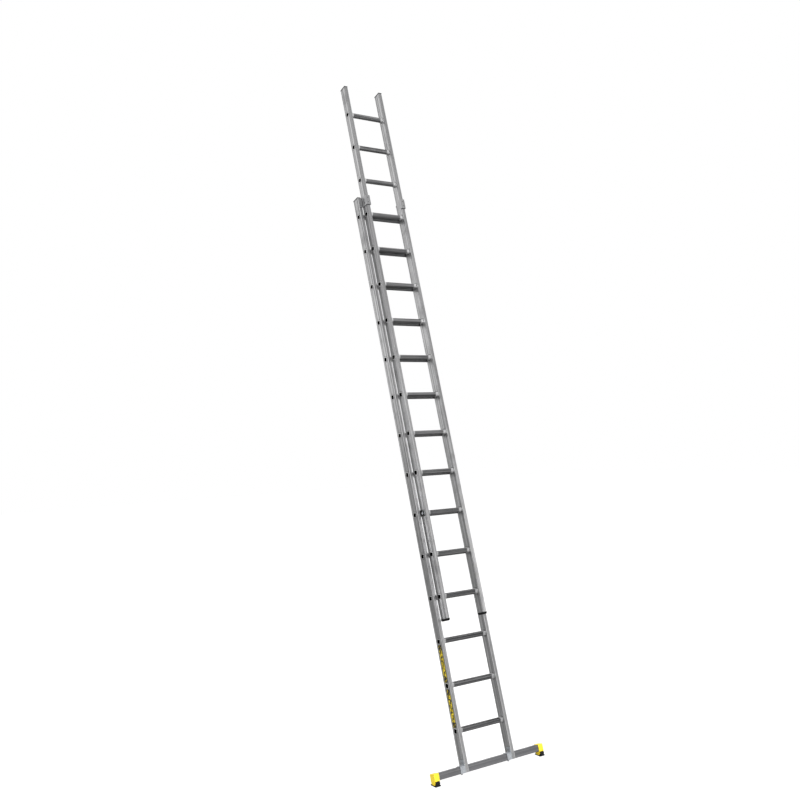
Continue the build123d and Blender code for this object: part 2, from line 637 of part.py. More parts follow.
def sole(hand):
    """Rubber sole: a block between the cheeks on a tread that runs out under them."""
    shoe_x = BAR_LENGTH / 2 + SHOE_END_WALL
    outer_x = shoe_x - CHEEK_THICKNESS - SOLE_SIDE_FIT
    length = SHOE_LENGTH - 2 * CHEEK_THICKNESS - 2 * SOLE_SIDE_FIT
    top_front = in_upright(BAR_FRONT - SHOE_WALL, shoe_bottom())
    top_rear = in_upright(BAR_FRONT + BAR_DEPTH + SHOE_WALL, shoe_bottom())
    toe_y = top_front[0] - SOLE_TOE
    heel_y = top_rear[0] + SOLE_HEEL
    tread = CHEEK_ABOVE_FLOOR - SOLE_SIDE_FIT
    with BuildPart() as pad:
        with BuildSketch(Plane.YZ.offset(hand * outer_x)) as outline:
            with BuildLine():
                Polyline(
                    (toe_y, 0),
                    (heel_y, 0),
                    (heel_y, top_rear[1] - SOLE_SHOULDER),
                    top_rear,
                    top_front,
                    (toe_y, top_front[1] - SOLE_SHOULDER),
                    close=True,
                )
            make_face()
            ends = outline.vertices().sort_by(Axis.X)
            fillet(ends[:2], SOLE_ROUND)
        extrude(amount=-hand * length)
        with BuildSketch(Plane.YZ.offset(hand * (shoe_x + SOLE_TREAD_OVERHANG))) as under:
            with Locations(((toe_y + heel_y) / 2, tread / 2)):
                Rectangle(heel_y - toe_y, tread)
            fillet(under.vertices().sort_by(Axis.X)[:2].group_by(Axis.Y)[0], SOLE_ROUND)
        extrude(amount=-hand * (SHOE_LENGTH + 2 * SOLE_TREAD_OVERHANG))
    return pad.part


# ---- labels -------------------------------------------------------------------------------
def label(rung_below):
    """Thin sticker on the base left stile's outer face, between two rungs."""
    z = BASE_FIRST_RUNG + (rung_below - 1) * RUNG_PITCH + RUNG_PITCH / 2
    with BuildPart() as sticker:
        with BuildSketch(side(-BASE_WIDTH / 2, 0, z)):
            RectangleRounded(LABEL_WIDTH, LABEL_LENGTH, LABEL_CORNER)
        extrude(amount=-LABEL_THICKNESS)
    return sticker.part


# ---- build and write every piece ----------------------------------------------------------
os.makedirs("parts", exist_ok=True)

for side_name, hand in SIDES.items():
    save(base_stile(hand), f"base_{side_name}_stile")
    save(fly_stile(hand), f"fly_{side_name}_stile")
    base_x = hand * BASE_STILE_X
    fly_x = hand * FLY_STILE_X
    save(end_cap(base_x, 0, BASE_TOP, TOP_CAP_THICKNESS, True), f"base_{side_name}_top_cap")
    save(end_cap(fly_x, FLY_Y, FLY_TOP, TOP_CAP_THICKNESS, True), f"fly_{side_name}_top_cap")
    save(end_cap(fly_x, FLY_Y, FLY_BOTTOM, BOTTOM_CAP_THICKNESS, False), f"fly_{side_name}_bottom_cap")
    save(guide_bracket(hand), f"{side_name}_guide_bracket")
    save(glide_pad(hand), f"{side_name}_glide_pad")
    save(hook(hand), f"{side_name}_hook")
    save(pivot_pin(hand), f"{side_name}_hook_pin")
    save(bar_bracket(hand), f"{side_name}_bar_bracket")
    save(bar_end(hand), f"{side_name}_bar_end")
    save(sole(hand), f"{side_name}_sole")

for number in range(RUNG_COUNT):
    base_z = BASE_FIRST_RUNG + number * RUNG_PITCH
    fly_z = FLY_FIRST_RUNG + number * RUNG_PITCH
    save(rung(BASE_WIDTH, 0, base_z), f"base_rung_{number + 1:02d}")
    save(rung(FLY_WIDTH, FLY_Y, fly_z), f"fly_rung_{number + 1:02d}")

save(stabiliser_bar(), "stabiliser_bar")
bracket_bolts, bracket_nuts = bracket_fasteners()
save(Compound(children=guide_rivets()), "guide_rivets")
save(Compound(children=bracket_bolts), "bracket_bolts")
save(Compound(children=bracket_nuts), "bracket_nuts")
save(label(2), "upper_label")
save(label(1), "lower_label")
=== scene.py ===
"""The finished look of a two-section push-up extension ladder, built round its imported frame.

Every sub-assembly is a class that holds its own sizes and makes its own meshes, and every finish
is a small frozen dataclass that makes one material. Lengths are metres. "Local" places are in the
leaning frame of the ladder: X across, Y to the rear and Z up along the stiles.
"""
import json
import logging
import math
from dataclasses import dataclass
from enum import Enum
from typing import Callable, Iterable, Sequence

import bmesh
import bpy
import numpy as np
from mathutils import Matrix, Vector


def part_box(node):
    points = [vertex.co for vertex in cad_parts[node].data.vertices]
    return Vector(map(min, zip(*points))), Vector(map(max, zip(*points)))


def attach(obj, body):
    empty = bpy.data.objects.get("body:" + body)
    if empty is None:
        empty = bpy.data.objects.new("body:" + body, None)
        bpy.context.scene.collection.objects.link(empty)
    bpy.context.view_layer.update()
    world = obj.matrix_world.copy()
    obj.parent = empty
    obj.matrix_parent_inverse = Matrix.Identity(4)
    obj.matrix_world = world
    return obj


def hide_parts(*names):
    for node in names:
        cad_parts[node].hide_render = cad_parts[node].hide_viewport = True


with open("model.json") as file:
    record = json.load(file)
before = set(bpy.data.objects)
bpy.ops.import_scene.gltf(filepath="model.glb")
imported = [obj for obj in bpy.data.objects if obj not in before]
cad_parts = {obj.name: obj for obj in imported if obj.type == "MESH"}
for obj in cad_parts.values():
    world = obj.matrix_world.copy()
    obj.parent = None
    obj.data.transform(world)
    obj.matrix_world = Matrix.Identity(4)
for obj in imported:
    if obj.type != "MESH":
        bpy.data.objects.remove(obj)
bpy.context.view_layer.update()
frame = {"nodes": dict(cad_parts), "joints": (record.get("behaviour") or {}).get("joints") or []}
LOG = logging.getLogger("ladder")

MM = 0.001
WELD = 1e-6                     # points nearer than this are one point

Colour = tuple[float, float, float]
Corner = tuple[float, float, float]
Loop = list[tuple[float, float]]
Ring = list[Vector]
ROUNDED_ANGLE = 30.0    # edges that turn by more than this many degrees are rounded
Object = bpy.types.Object
Mesh = bpy.types.Mesh
Material = bpy.types.Material
Socket = bpy.types.NodeSocket


class Body(Enum):
    """The ladder's moving bodies."""

    BASE = "base"
    FLY = "fly"
    LEFT_HOOK = "left_hook"
    RIGHT_HOOK = "right_hook"


class Slot(Enum):
    """The record's material slots."""

    STILES = "stile_aluminium"
    RUNGS = "rung_aluminium"
    BAR = "bar_aluminium"
    CAPS = "cap_plastic"
    HOOKS = "hook_plastic"
    GLIDES = "glide_nylon"
    GUIDES = "guide_metal"
    PLATED = "plated_steel"
    FASTENERS = "fastener_steel"
    BAR_ENDS = "yellow_plastic"
    SOLES = "sole_rubber"
    LABELS = "label_film"


class Grain(Enum):
    """The direction in which an extrusion's die lines run."""

    UP = (1.0, 1.0, 0.0)
    ACROSS = (0.0, 1.0, 1.0)


class Hand(Enum):
    """The two sides of the ladder, as signs of X."""

    LEFT = -1
    RIGHT = 1

    @property
    def word(self) -> str:
        """The side's name as the CAD nodes spell it."""
        return self.name.lower()


# ---- the leaning frame ---------------------------------------------------------------------
@dataclass(frozen=True)
class Box:
    """A box given by its lowest and highest corners."""

    low: Vector
    high: Vector

    @property
    def size(self) -> Vector:
        """Length along each axis."""
        return self.high - self.low

    @property
    def centre(self) -> Vector:
        """Middle of the box."""
        return (self.low + self.high) / 2


def box_of(points: np.ndarray) -> Box:
    """The box round an array of points."""
    return Box(Vector(points.min(axis=0)), Vector(points.max(axis=0)))


def welded(mesh: Mesh) -> bmesh.types.BMesh:
    """A copy of a mesh whose loose triangles are joined.

    Args:
        mesh: a mesh of loose triangles.

    Returns:
        The copy, still to be freed.
    """
    shell = bmesh.new()
    shell.from_mesh(mesh)
    bmesh.ops.remove_doubles(shell, verts=shell.verts, dist=WELD)
    return shell


@dataclass(frozen=True)
class LeaningFrame:
    """Local axes of the ladder as it leans.

    Attributes:
        lean: angle of the stiles from upright, in radians.
    """

    lean: float

    @classmethod
    def of_slide(cls, joints: Iterable[dict]) -> "LeaningFrame":
        """The frame whose Z is the sliding joint's axis."""
        slide = next(joint for joint in joints if joint["type"] == "slide")
        return cls(math.atan2(slide["axis"][1], slide["axis"][2]))

    @property
    def matrix(self) -> Matrix:
        """Turns local places into world places."""
        return Matrix.Rotation(-self.lean, 4, "X")

    def world(self, x: float, y: float, z: float) -> Vector:
        """World place of the local point (x, y, z)."""
        return self.matrix @ Vector((x, y, z))

    def local(self, points: np.ndarray) -> np.ndarray:
        """Local places of an array of world points."""
        return points @ np.array(self.matrix.to_3x3())

    def box(self, node: str) -> Box:
        """Local box of a CAD node."""
        vertices = frame["nodes"][node].data.vertices
        return box_of(self.local(np.array([vertex.co for vertex in vertices])))

    def solids(self, node: str) -> list[Box]:
        """Local box of each separate solid in a CAD node.

        Args:
            node: name of the CAD node.

        Returns:
            One box for each solid, in order of X and then of Z.
        """
        shell = welded(frame["nodes"][node].data)
        waiting = set(shell.verts)
        boxes = []
        while waiting:
            island = {waiting.pop()}
            edge = set(island)
            while edge:
                edge = {link.other_vert(vertex) for vertex in edge for link in vertex.link_edges} - island
                island |= edge
            waiting -= island
            boxes.append(box_of(self.local(np.array([vertex.co for vertex in island]))))
        shell.free()
        return sorted(boxes, key=lambda box: (round(box.centre.x, 3), round(box.centre.z, 3)))


# ---- outlines and shells -------------------------------------------------------------------
def arc_outline(corners: Sequence[Corner], segments: int) -> Loop:
    """Closed outline with an arc at each corner that has a radius.

    Args:
        corners: (x, y, radius) once round the outline, anticlockwise.
        segments: straight pieces in each arc.

    Returns:
        The outline's points in order.
    """
    outline: Loop = []
    count = len(corners)
    for index, (x, y, radius) in enumerate(corners):
        if radius <= 0:
            outline.append((x, y))
            continue
        here = Vector((x, y))
        before = (Vector(corners[index - 1][:2]) - here).normalized()
        after = (Vector(corners[(index + 1) % count][:2]) - here).normalized()
        half = before.angle(after) / 2
        middle = here + (before + after).normalized() * radius / math.sin(half)
        start = here + before * radius / math.tan(half) - middle
        turn = math.pi - 2 * half
        if before.cross(after) > 0:
            turn = -turn
        for step in range(segments + 1):
            point = middle + Matrix.Rotation(turn * step / segments, 2) @ start
            outline.append((point.x, point.y))
    return outline


def circle(radius: float, count: int) -> Loop:
    """Points of a circle, anticlockwise."""
    angles = [2 * math.pi * step / count for step in range(count)]
    return [(radius * math.cos(angle), radius * math.sin(angle)) for angle in angles]


def hexagon(radius: float, per_side: int) -> Loop:
    """Points of a hexagon with corners at the radius, with several points along each side.

    Args:
        radius: centre to corner.
        per_side: points along each side.

    Returns:
        The points, anticlockwise.
    """
    corners = [Vector(point) for point in circle(radius, 6)]
    points = []
    for index, corner in enumerate(corners):
        following = corners[(index + 1) % len(corners)]
        points += [tuple(corner.lerp(following, step / per_side)) for step in range(per_side)]
    return points


class Shell:
    """A mesh under construction, made of closed lofts."""

    def __init__(self) -> None:
        """Starts an empty mesh."""
        self.work = bmesh.new()

    def loft(self, rings: Sequence[Ring], hollow: bool = False) -> "Shell":
        """Adds a skin through rings of points.

        Args:
            rings: loops with the same number of points.
            hollow: True joins the last ring to the first, as round a tube's wall; False caps both ends.

        Returns:
            The same shell, so that calls can follow each other.
        """
        made = [[self.work.verts.new(point) for point in ring] for ring in rings]
        pairs = list(zip(made, made[1:]))
        if hollow:
            pairs.append((made[-1], made[0]))
        else:
            self.work.faces.new(reversed(made[0]))
            self.work.faces.new(made[-1])
        for near, far in pairs:
            for index in range(len(near)):
                following = (index + 1) % len(near)
                self.work.faces.new((near[index], near[following], far[following], far[index]))
        return self

    def prism(
        self, outline: Loop, place: Callable[[float, float, float], Vector], ends: Sequence[float]
    ) -> "Shell":
        """Adds a solid with one outline at each end.

        Args:
            outline: points (u, v) of the section.
            place: turns (u, v, w) into a point.
            ends: values of w from one end to the other.

        Returns:
            The same shell.
        """
        return self.loft([[place(u, v, end) for u, v in outline] for end in ends])

    def mesh(self, name: str, turn: Matrix = Matrix.Identity(4)) -> Mesh:
        """Closes the work and returns it as a mesh with outward faces, turned into place.

        Args:
            name: the mesh's name.
            turn: what places it.

        Returns:
            The mesh, with outward faces.
        """
        bmesh.ops.recalc_face_normals(self.work, faces=self.work.faces)
        made = bpy.data.meshes.new(name)
        self.work.to_mesh(made)
        self.work.free()
        made.transform(turn)
        return made


def scratch_object(name: str, data: bpy.types.ID) -> Object:
    """Links an object that only serves while a piece is made.

    Args:
        name: the object's name.
        data: its mesh, curve, lamp or camera.

    Returns:
        The object.
    """
    made = bpy.data.objects.new(name, data)
    bpy.context.scene.collection.objects.link(made)
    return made


def baked(maker: Object, name: str) -> Mesh:
    """The maker's mesh with its modifiers applied; the maker itself is removed.

    Args:
        maker: an object with modifiers.
        name: the new mesh's name.

    Returns:
        The plain mesh.
    """
    bpy.context.view_layer.update()
    graph = bpy.context.evaluated_depsgraph_get()
    made = bpy.data.meshes.new_from_object(maker.evaluated_get(graph))
    made.name = name
    maker.modifiers.clear()
    bpy.data.objects.remove(maker)
    return made


def softened(mesh: Mesh, radius: float, segments: int) -> Mesh:
    """The mesh with its sharp edges rounded.

    Args:
        mesh: closed mesh with joined faces.
        radius: width of the rounding.
        segments: faces across each rounding.

    Returns:
        A new mesh.
    """
    maker = scratch_object("maker", mesh)
    bevel = maker.modifiers.new("round", "BEVEL")
    bevel.width = radius
    bevel.segments = segments
    bevel.limit_method = "ANGLE"
    bevel.angle_limit = math.radians(ROUNDED_ANGLE)
    return baked(maker, mesh.name)


def rounded_node(node: str, radius: float, segments: int = 2) -> Mesh:
    """A copy of a CAD node with its flat faces whole and its edges rounded.

    Args:
        node: name of the CAD node.
        radius: width of the rounding.
        segments: faces across each rounding.

    Returns:
        A new mesh; the CAD node stays as it is.
    """
    shell = welded(frame["nodes"][node].data)
    bmesh.ops.dissolve_limit(
        shell, angle_limit=math.radians(1.0), verts=shell.verts, edges=shell.edges, delimit={"NORMAL"}
    )
    made = bpy.data.meshes.new(node)
    shell.to_mesh(made)
    shell.free()
    return softened(made, radius, segments)


def add_piece(
    name: str,
    mesh: Mesh,
    material: Material,
    slot: Slot,
    body: Body,
    replaced: Sequence[str],
) -> Object:
    """Turns a mesh into a finished piece that rides on a body.

    Args:
        name: the piece's name.
        mesh: its mesh, in its place in the world.
        material: its finish.
        slot: the record's material slot; not used.
        body: the CAD body that carries it.
        replaced: the CAD nodes that it stands for.

    Returns:
        The finished object.
    """
    mesh.shade_smooth()
    mesh.set_sharp_from_angle(angle=math.radians(32))
    maker = scratch_object("maker", mesh)
    weighted = maker.modifiers.new("flat faces stay flat", "WEIGHTED_NORMAL")
    weighted.keep_sharp = True
    final = baked(maker, name)
    final.materials.clear()
    final.materials.append(material)
    piece = bpy.data.objects.new(name, final)
    bpy.context.scene.collection.objects.link(piece)
    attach(piece, body.value)
    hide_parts(*replaced)
    LOG.info("%s: %d faces, rides on %s", name, len(final.polygons), body.value)
    return piece


def add_remade(
    node: str, kind: str, edge: float, material: Material, slot: Slot, body: Body, segments: int = 2
) -> None:
    """Replaces a CAD node with a dressed copy whose edges are rounded.

    Args:
        node: name of the CAD node.
        kind: how the piece was made, which ends its name.
        edge: width of the rounding.
        material: its finish.
        slot: the record's material slot.
        body: the CAD body that carries it.
        segments: faces across each rounding.
    """
    add_piece(f"{node}_{kind}", rounded_node(node, edge, segments), material, slot, body, [node])


# ---- geometry node trees -------------------------------------------------------------------
class GeometryTree:
    """A geometry node group with named inputs, built node by node."""

    def __init__(self, name: str, inputs: dict[str, str]) -> None:
        """Makes the group and its inputs.

        Args:
            name: the group's name.
            inputs: socket type for each input's name.
        """
        self.group = bpy.data.node_groups.new(name, "GeometryNodeTree")
        face = self.group.interface
        face.new_socket("Geometry", in_out="OUTPUT", socket_type="NodeSocketGeometry")
        face.new_socket("Geometry", in_out="INPUT", socket_type="NodeSocketGeometry")
        self.identifiers = {
            label: face.new_socket(label, in_out="INPUT", socket_type=kind).identifier
            for label, kind in inputs.items()
        }
        self.inputs = self.group.nodes.new("NodeGroupInput").outputs
        self.output = self.group.nodes.new("NodeGroupOutput").inputs[0]

    def node(self, kind: str, **links: object) -> bpy.types.Node:
        """Adds a geometry node.

        Args:
            kind: the node's type, after GeometryNode.
            links: an output socket or a value for each input, whose spaces are written as underlines.

        Returns:
            The node.
        """
        made = self.group.nodes.new("GeometryNode" + kind)
        for label, source in links.items():
            socket = made.inputs[label.replace("_", " ")]
            if isinstance(source, Socket):
                self.group.links.new(source, socket)
            else:
                socket.default_value = source
        return made

    def join(self, *parts: Socket) -> Socket:
        """Joins several geometries.

        Args:
            parts: the geometries.

        Returns:
            One geometry.
        """
        made = self.group.nodes.new("GeometryNodeJoinGeometry")
        for part in parts:
            self.group.links.new(part, made.inputs[0])
        return made.outputs[0]

    def close(self, geometry: Socket) -> None:
        """Ends the tree in Realize Instances and Set Material.

        Args:
            geometry: what the tree has made.
        """
        realised = self.node("RealizeInstances", Geometry=geometry)
        dressed = self.node("SetMaterial", Geometry=realised.outputs[0], Material=self.inputs["Material"])
        self.group.links.new(dressed.outputs[0], self.output)

    def apply(self, name: str, host: Mesh, values: dict[str, object]) -> Mesh:
        """Runs the tree on a host mesh.

        Args:
            name: name of the mesh that comes out.
            host: the mesh that goes in.
            values: a value for each named input.

        Returns:
            The tree's result as a plain mesh.
        """
        maker = scratch_object(name, host)
        modifier = maker.modifiers.new("tree", "NODES")
        modifier.node_group = self.group
        for label, value in values.items():
            modifier[self.identifiers[label]] = value
        return baked(maker, name)


def row_tree() -> GeometryTree:
    """A tree that repeats the incoming mesh along a straight row.

    Returns:
        The tree, with inputs Count, Spacing and Material.
    """
    tree = GeometryTree(
        "row of pieces",
        {"Count": "NodeSocketInt", "Spacing": "NodeSocketVector", "Material": "NodeSocketMaterial"},
    )
    points = tree.node("MeshLine", Count=tree.inputs["Count"], Offset=tree.inputs["Spacing"])
    row = tree.node("InstanceOnPoints", Points=points.outputs[0], Instance=tree.inputs["Geometry"])
    tree.close(row.outputs[0])
    return tree


def scatter_tree() -> GeometryTree:
    """A tree that sets a shape on each incoming point and turns its Z to the point's facing.

    Returns:
        The tree, with inputs Shape and Material.
    """
    tree = GeometryTree(
        "fasteners at points",
        {"Shape": "NodeSocketObject", "Material": "NodeSocketMaterial"},
    )
    shape = tree.node("ObjectInfo", Object=tree.inputs["Shape"])
    facing = tree.node("InputNamedAttribute", Name=Fasteners.FACING)
    facing.data_type = "FLOAT_VECTOR"
    turn = tree.group.nodes.new("FunctionNodeAlignRotationToVector")
    tree.group.links.new(facing.outputs["Attribute"], turn.inputs["Vector"])
    shapes = tree.node(
        "InstanceOnPoints",
        Points=tree.inputs["Geometry"],
        Instance=shape.outputs["Geometry"],
        Rotation=turn.outputs[0],
    )
    tree.close(shapes.outputs[0])
    return tree


def extrusion_tree() -> GeometryTree:
    """A tree that draws a hollow section out along a run and cuts a row of holes through it.

    Returns:
        The tree, whose inputs are the section, the run, its place, the cutters and the material.
    """
    tree = GeometryTree(
        "extrusion with holes",
        {
            "Section": "NodeSocketObject",
            "Run": "NodeSocketVector",
            "Place": "NodeSocketVector",
            "Lean": "NodeSocketFloat",
            "Cutter": "NodeSocketObject",
            "Count": "NodeSocketInt",
            "Spacing": "NodeSocketVector",
            "Material": "NodeSocketMaterial",
        },
    )
    section = tree.node("ObjectInfo", Object=tree.inputs["Section"])
    start = tree.node("FillCurve", Curve=section.outputs["Geometry"])
    drawn = tree.node(
        "ExtrudeMesh", Mesh=start.outputs[0], Offset=tree.inputs["Run"], Offset_Scale=1.0, Individual=False
    )
    foot = tree.node("FlipFaces", Mesh=start.outputs[0])
    whole = tree.join(drawn.outputs[0], foot.outputs[0])
    solid = tree.node("MergeByDistance", Geometry=whole, Distance=WELD)
    turn = tree.group.nodes.new("ShaderNodeCombineXYZ")
    tree.group.links.new(tree.inputs["Lean"], turn.inputs["X"])
    placed = tree.node(
        "Transform", Geometry=solid.outputs[0], Translation=tree.inputs["Place"], Rotation=turn.outputs[0]
    )
    cutter = tree.node("ObjectInfo", Object=tree.inputs["Cutter"])
    points = tree.node("MeshLine", Count=tree.inputs["Count"], Offset=tree.inputs["Spacing"])
    row = tree.node("InstanceOnPoints", Points=points.outputs[0], Instance=cutter.outputs["Geometry"])
    holes = tree.node("RealizeInstances", Geometry=row.outputs[0])
    bored = tree.node("MeshBoolean")
    bored.operation = "DIFFERENCE"
    bored.solver = "EXACT"
    tree.group.links.new(placed.outputs[0], bored.inputs["Mesh 1"])
    tree.group.links.new(tree.join(tree.inputs["Geometry"], holes.outputs[0]), bored.inputs["Mesh 2"])
    tree.close(bored.outputs["Mesh"])
    return tree


# ---- finishes ------------------------------------------------------------------------------
class ShaderGraph:
    """A material's node tree, with short calls for the nodes that the finishes use."""

    def __init__(self, name: str, leaning: LeaningFrame) -> None:
        """Starts a material whose coordinates lean with the ladder.

        Args:
            name: the material's name.
            leaning: the ladder's leaning frame.
        """
        self.material = bpy.data.materials.new(name)
        self.material.use_nodes = True
        self.tree = self.material.node_tree
        self.shader = self.tree.nodes["Principled BSDF"]
        coordinates = self.tree.nodes.new("ShaderNodeTexCoord")
        lean = self.tree.nodes.new("ShaderNodeMapping")
        lean.inputs["Rotation"].default_value = (leaning.lean, 0.0, 0.0)
        self.tree.links.new(coordinates.outputs["Object"], lean.inputs["Vector"])
        self.upright = coordinates.outputs["Object"]
        self.local = lean.outputs[0]

    def link(self, source: Socket, target: Socket) -> None:
        """Joins two sockets."""
        self.tree.links.new(source, target)

    def stretched(self, scale: Sequence[float]) -> Socket:
        """The local coordinates, multiplied along each axis.

        Args:
            scale: factor along local X, Y and Z.

        Returns:
            The vector.
        """
        made = self.tree.nodes.new("ShaderNodeMapping")
        made.inputs["Scale"].default_value = scale
        self.link(self.local, made.inputs["Vector"])
        return made.outputs[0]

    def noise(self, vector: Socket, scale: float, detail: float, rough: float = 0.55) -> Socket:
        """Noise from 0 to 1.

        Args:
            vector: where to read the noise.
            scale: its frequency.
            detail: octaves.
            rough: weight of each finer octave.

        Returns:
            The noise.
        """
        made = self.tree.nodes.new("ShaderNodeTexNoise")
        made.inputs["Scale"].default_value = scale
        made.inputs["Detail"].default_value = detail
        made.inputs["Roughness"].default_value = rough
        self.link(vector, made.inputs["Vector"])
        return made.outputs["Fac"]

    def cells(self, vector: Socket, scale: float) -> Socket:
        """A different grey for each cell of a cellular pattern.

        Args:
            vector: where to read the pattern.
            scale: cells to the metre.

        Returns:
            The grey.
        """
        made = self.tree.nodes.new("ShaderNodeTexVoronoi")
        made.inputs["Scale"].default_value = scale
        self.link(vector, made.inputs["Vector"])
        split = self.tree.nodes.new("ShaderNodeSeparateColor")
        self.link(made.outputs["Color"], split.inputs[0])
        return split.outputs[0]

    def maths(self, operation: str, *terms: object) -> Socket:
        """A maths node whose terms are sockets or numbers.

        Args:
            operation: the node's operation.
            terms: sockets or numbers.

        Returns:
            The result.
        """
        made = self.tree.nodes.new("ShaderNodeMath")
        made.operation = operation
        for socket, term in zip(made.inputs, terms):
            if isinstance(term, Socket):
                self.link(term, socket)
            else:
                socket.default_value = term
        return made.outputs[0]

    def ranged(
        self, value: Socket, low: float, high: float, start: float = 0.0, end: float = 1.0
    ) -> Socket:
        """The value's way from low to high, smoothly turned into start to end.

        Args:
            value: what is mapped.
            low: value that becomes start.
            high: value that becomes end.
            start: result at low.
            end: result at high.

        Returns:
            The mapped value.
        """
        made = self.tree.nodes.new("ShaderNodeMapRange")
        made.interpolation_type = "SMOOTHSTEP"
        for label, number in (("From Min", low), ("From Max", high), ("To Min", start), ("To Max", end)):
            made.inputs[label].default_value = number
        self.link(value, made.inputs["Value"])
        return made.outputs["Result"]

    def attribute(self, name: str) -> Socket:
        """A number stored on the piece's points.

        Args:
            name: the attribute's name.

        Returns:
            Its value.
        """
        made = self.tree.nodes.new("ShaderNodeAttribute")
        made.attribute_name = name
        return made.outputs["Fac"]

    def crevices(self, reach: float) -> Socket:
        """Painted shade from ambient occlusion: how shut in a place is, from 0 in the open to 1 in a
        crevice.

        Args:
            reach: how far round a place is looked at, in metres.

        Returns:
            The share of painted shade.
        """
        made = self.tree.nodes.new("ShaderNodeAmbientOcclusion")
        made.samples = 6
        made.inputs["Distance"].default_value = reach
        return self.ranged(made.outputs["AO"], 0.45, 0.95, 0.8, 0.0)

    def mixed(self, factor: Socket, first: object, second: object) -> Socket:
        """A colour between two colours.

        Args:
            factor: 0 for the first colour, 1 for the second.
            first: a socket or a colour.
            second: a socket or a colour.

        Returns:
            The mixed colour.
        """
        made = self.tree.nodes.new("ShaderNodeMix")
        made.data_type = "RGBA"
        self.link(factor, made.inputs["Factor"])
        sockets = [socket for socket in made.inputs if socket.type == "RGBA"]
        for socket, colour in zip(sockets, (first, second)):
            if isinstance(colour, Socket):
                self.link(colour, socket)
            else:
                socket.default_value = (*colour, 1.0)
        return next(socket for socket in made.outputs if socket.type == "RGBA")

    def parts(self, vector: Socket) -> list[Socket]:
        """The three numbers of a vector.

        Args:
            vector: the vector.

        Returns:
            Its X, Y and Z.
        """
        made = self.tree.nodes.new("ShaderNodeSeparateXYZ")
        self.link(vector, made.inputs[0])
        return list(made.outputs)

    def bump(self, height: Socket, depth: float) -> None:
        """Adds a relief to the surface.

        Args:
            height: its height, from 0 to 1.
            depth: what a height of 1 stands for, in metres.
        """
        made = self.tree.nodes.new("ShaderNodeBump")
        made.inputs["Distance"].default_value = depth
        before = self.shader.inputs["Normal"].links
        if before:
            self.link(before[0].from_socket, made.inputs["Normal"])
        self.link(height, made.inputs["Height"])
        self.link(made.outputs[0], self.shader.inputs["Normal"])

    def finish(self, colour: Socket, rough: Socket, **fixed: float) -> Material:
        """Wires the shader up.

        Args:
            colour: the base colour.
            rough: the roughness.
            fixed: a constant for each other socket, whose spaces are written as underlines.

        Returns:
            The finished material.
        """
        self.link(colour, self.shader.inputs["Base Color"])
        self.link(rough, self.shader.inputs["Roughness"])
        for label, value in fixed.items():
            self.shader.inputs[label.replace("_", " ")].default_value = value
        return self.material


@dataclass(frozen=True)
class RungRow:
    """Where a section's rungs pass its stiles, in the leaning frame.

    Attributes:
        first: local height of the lowest rung.
        pitch: spacing of the rungs.
        depth: local Y of their centre line.
    """

    first: float
    pitch: float
    depth: float


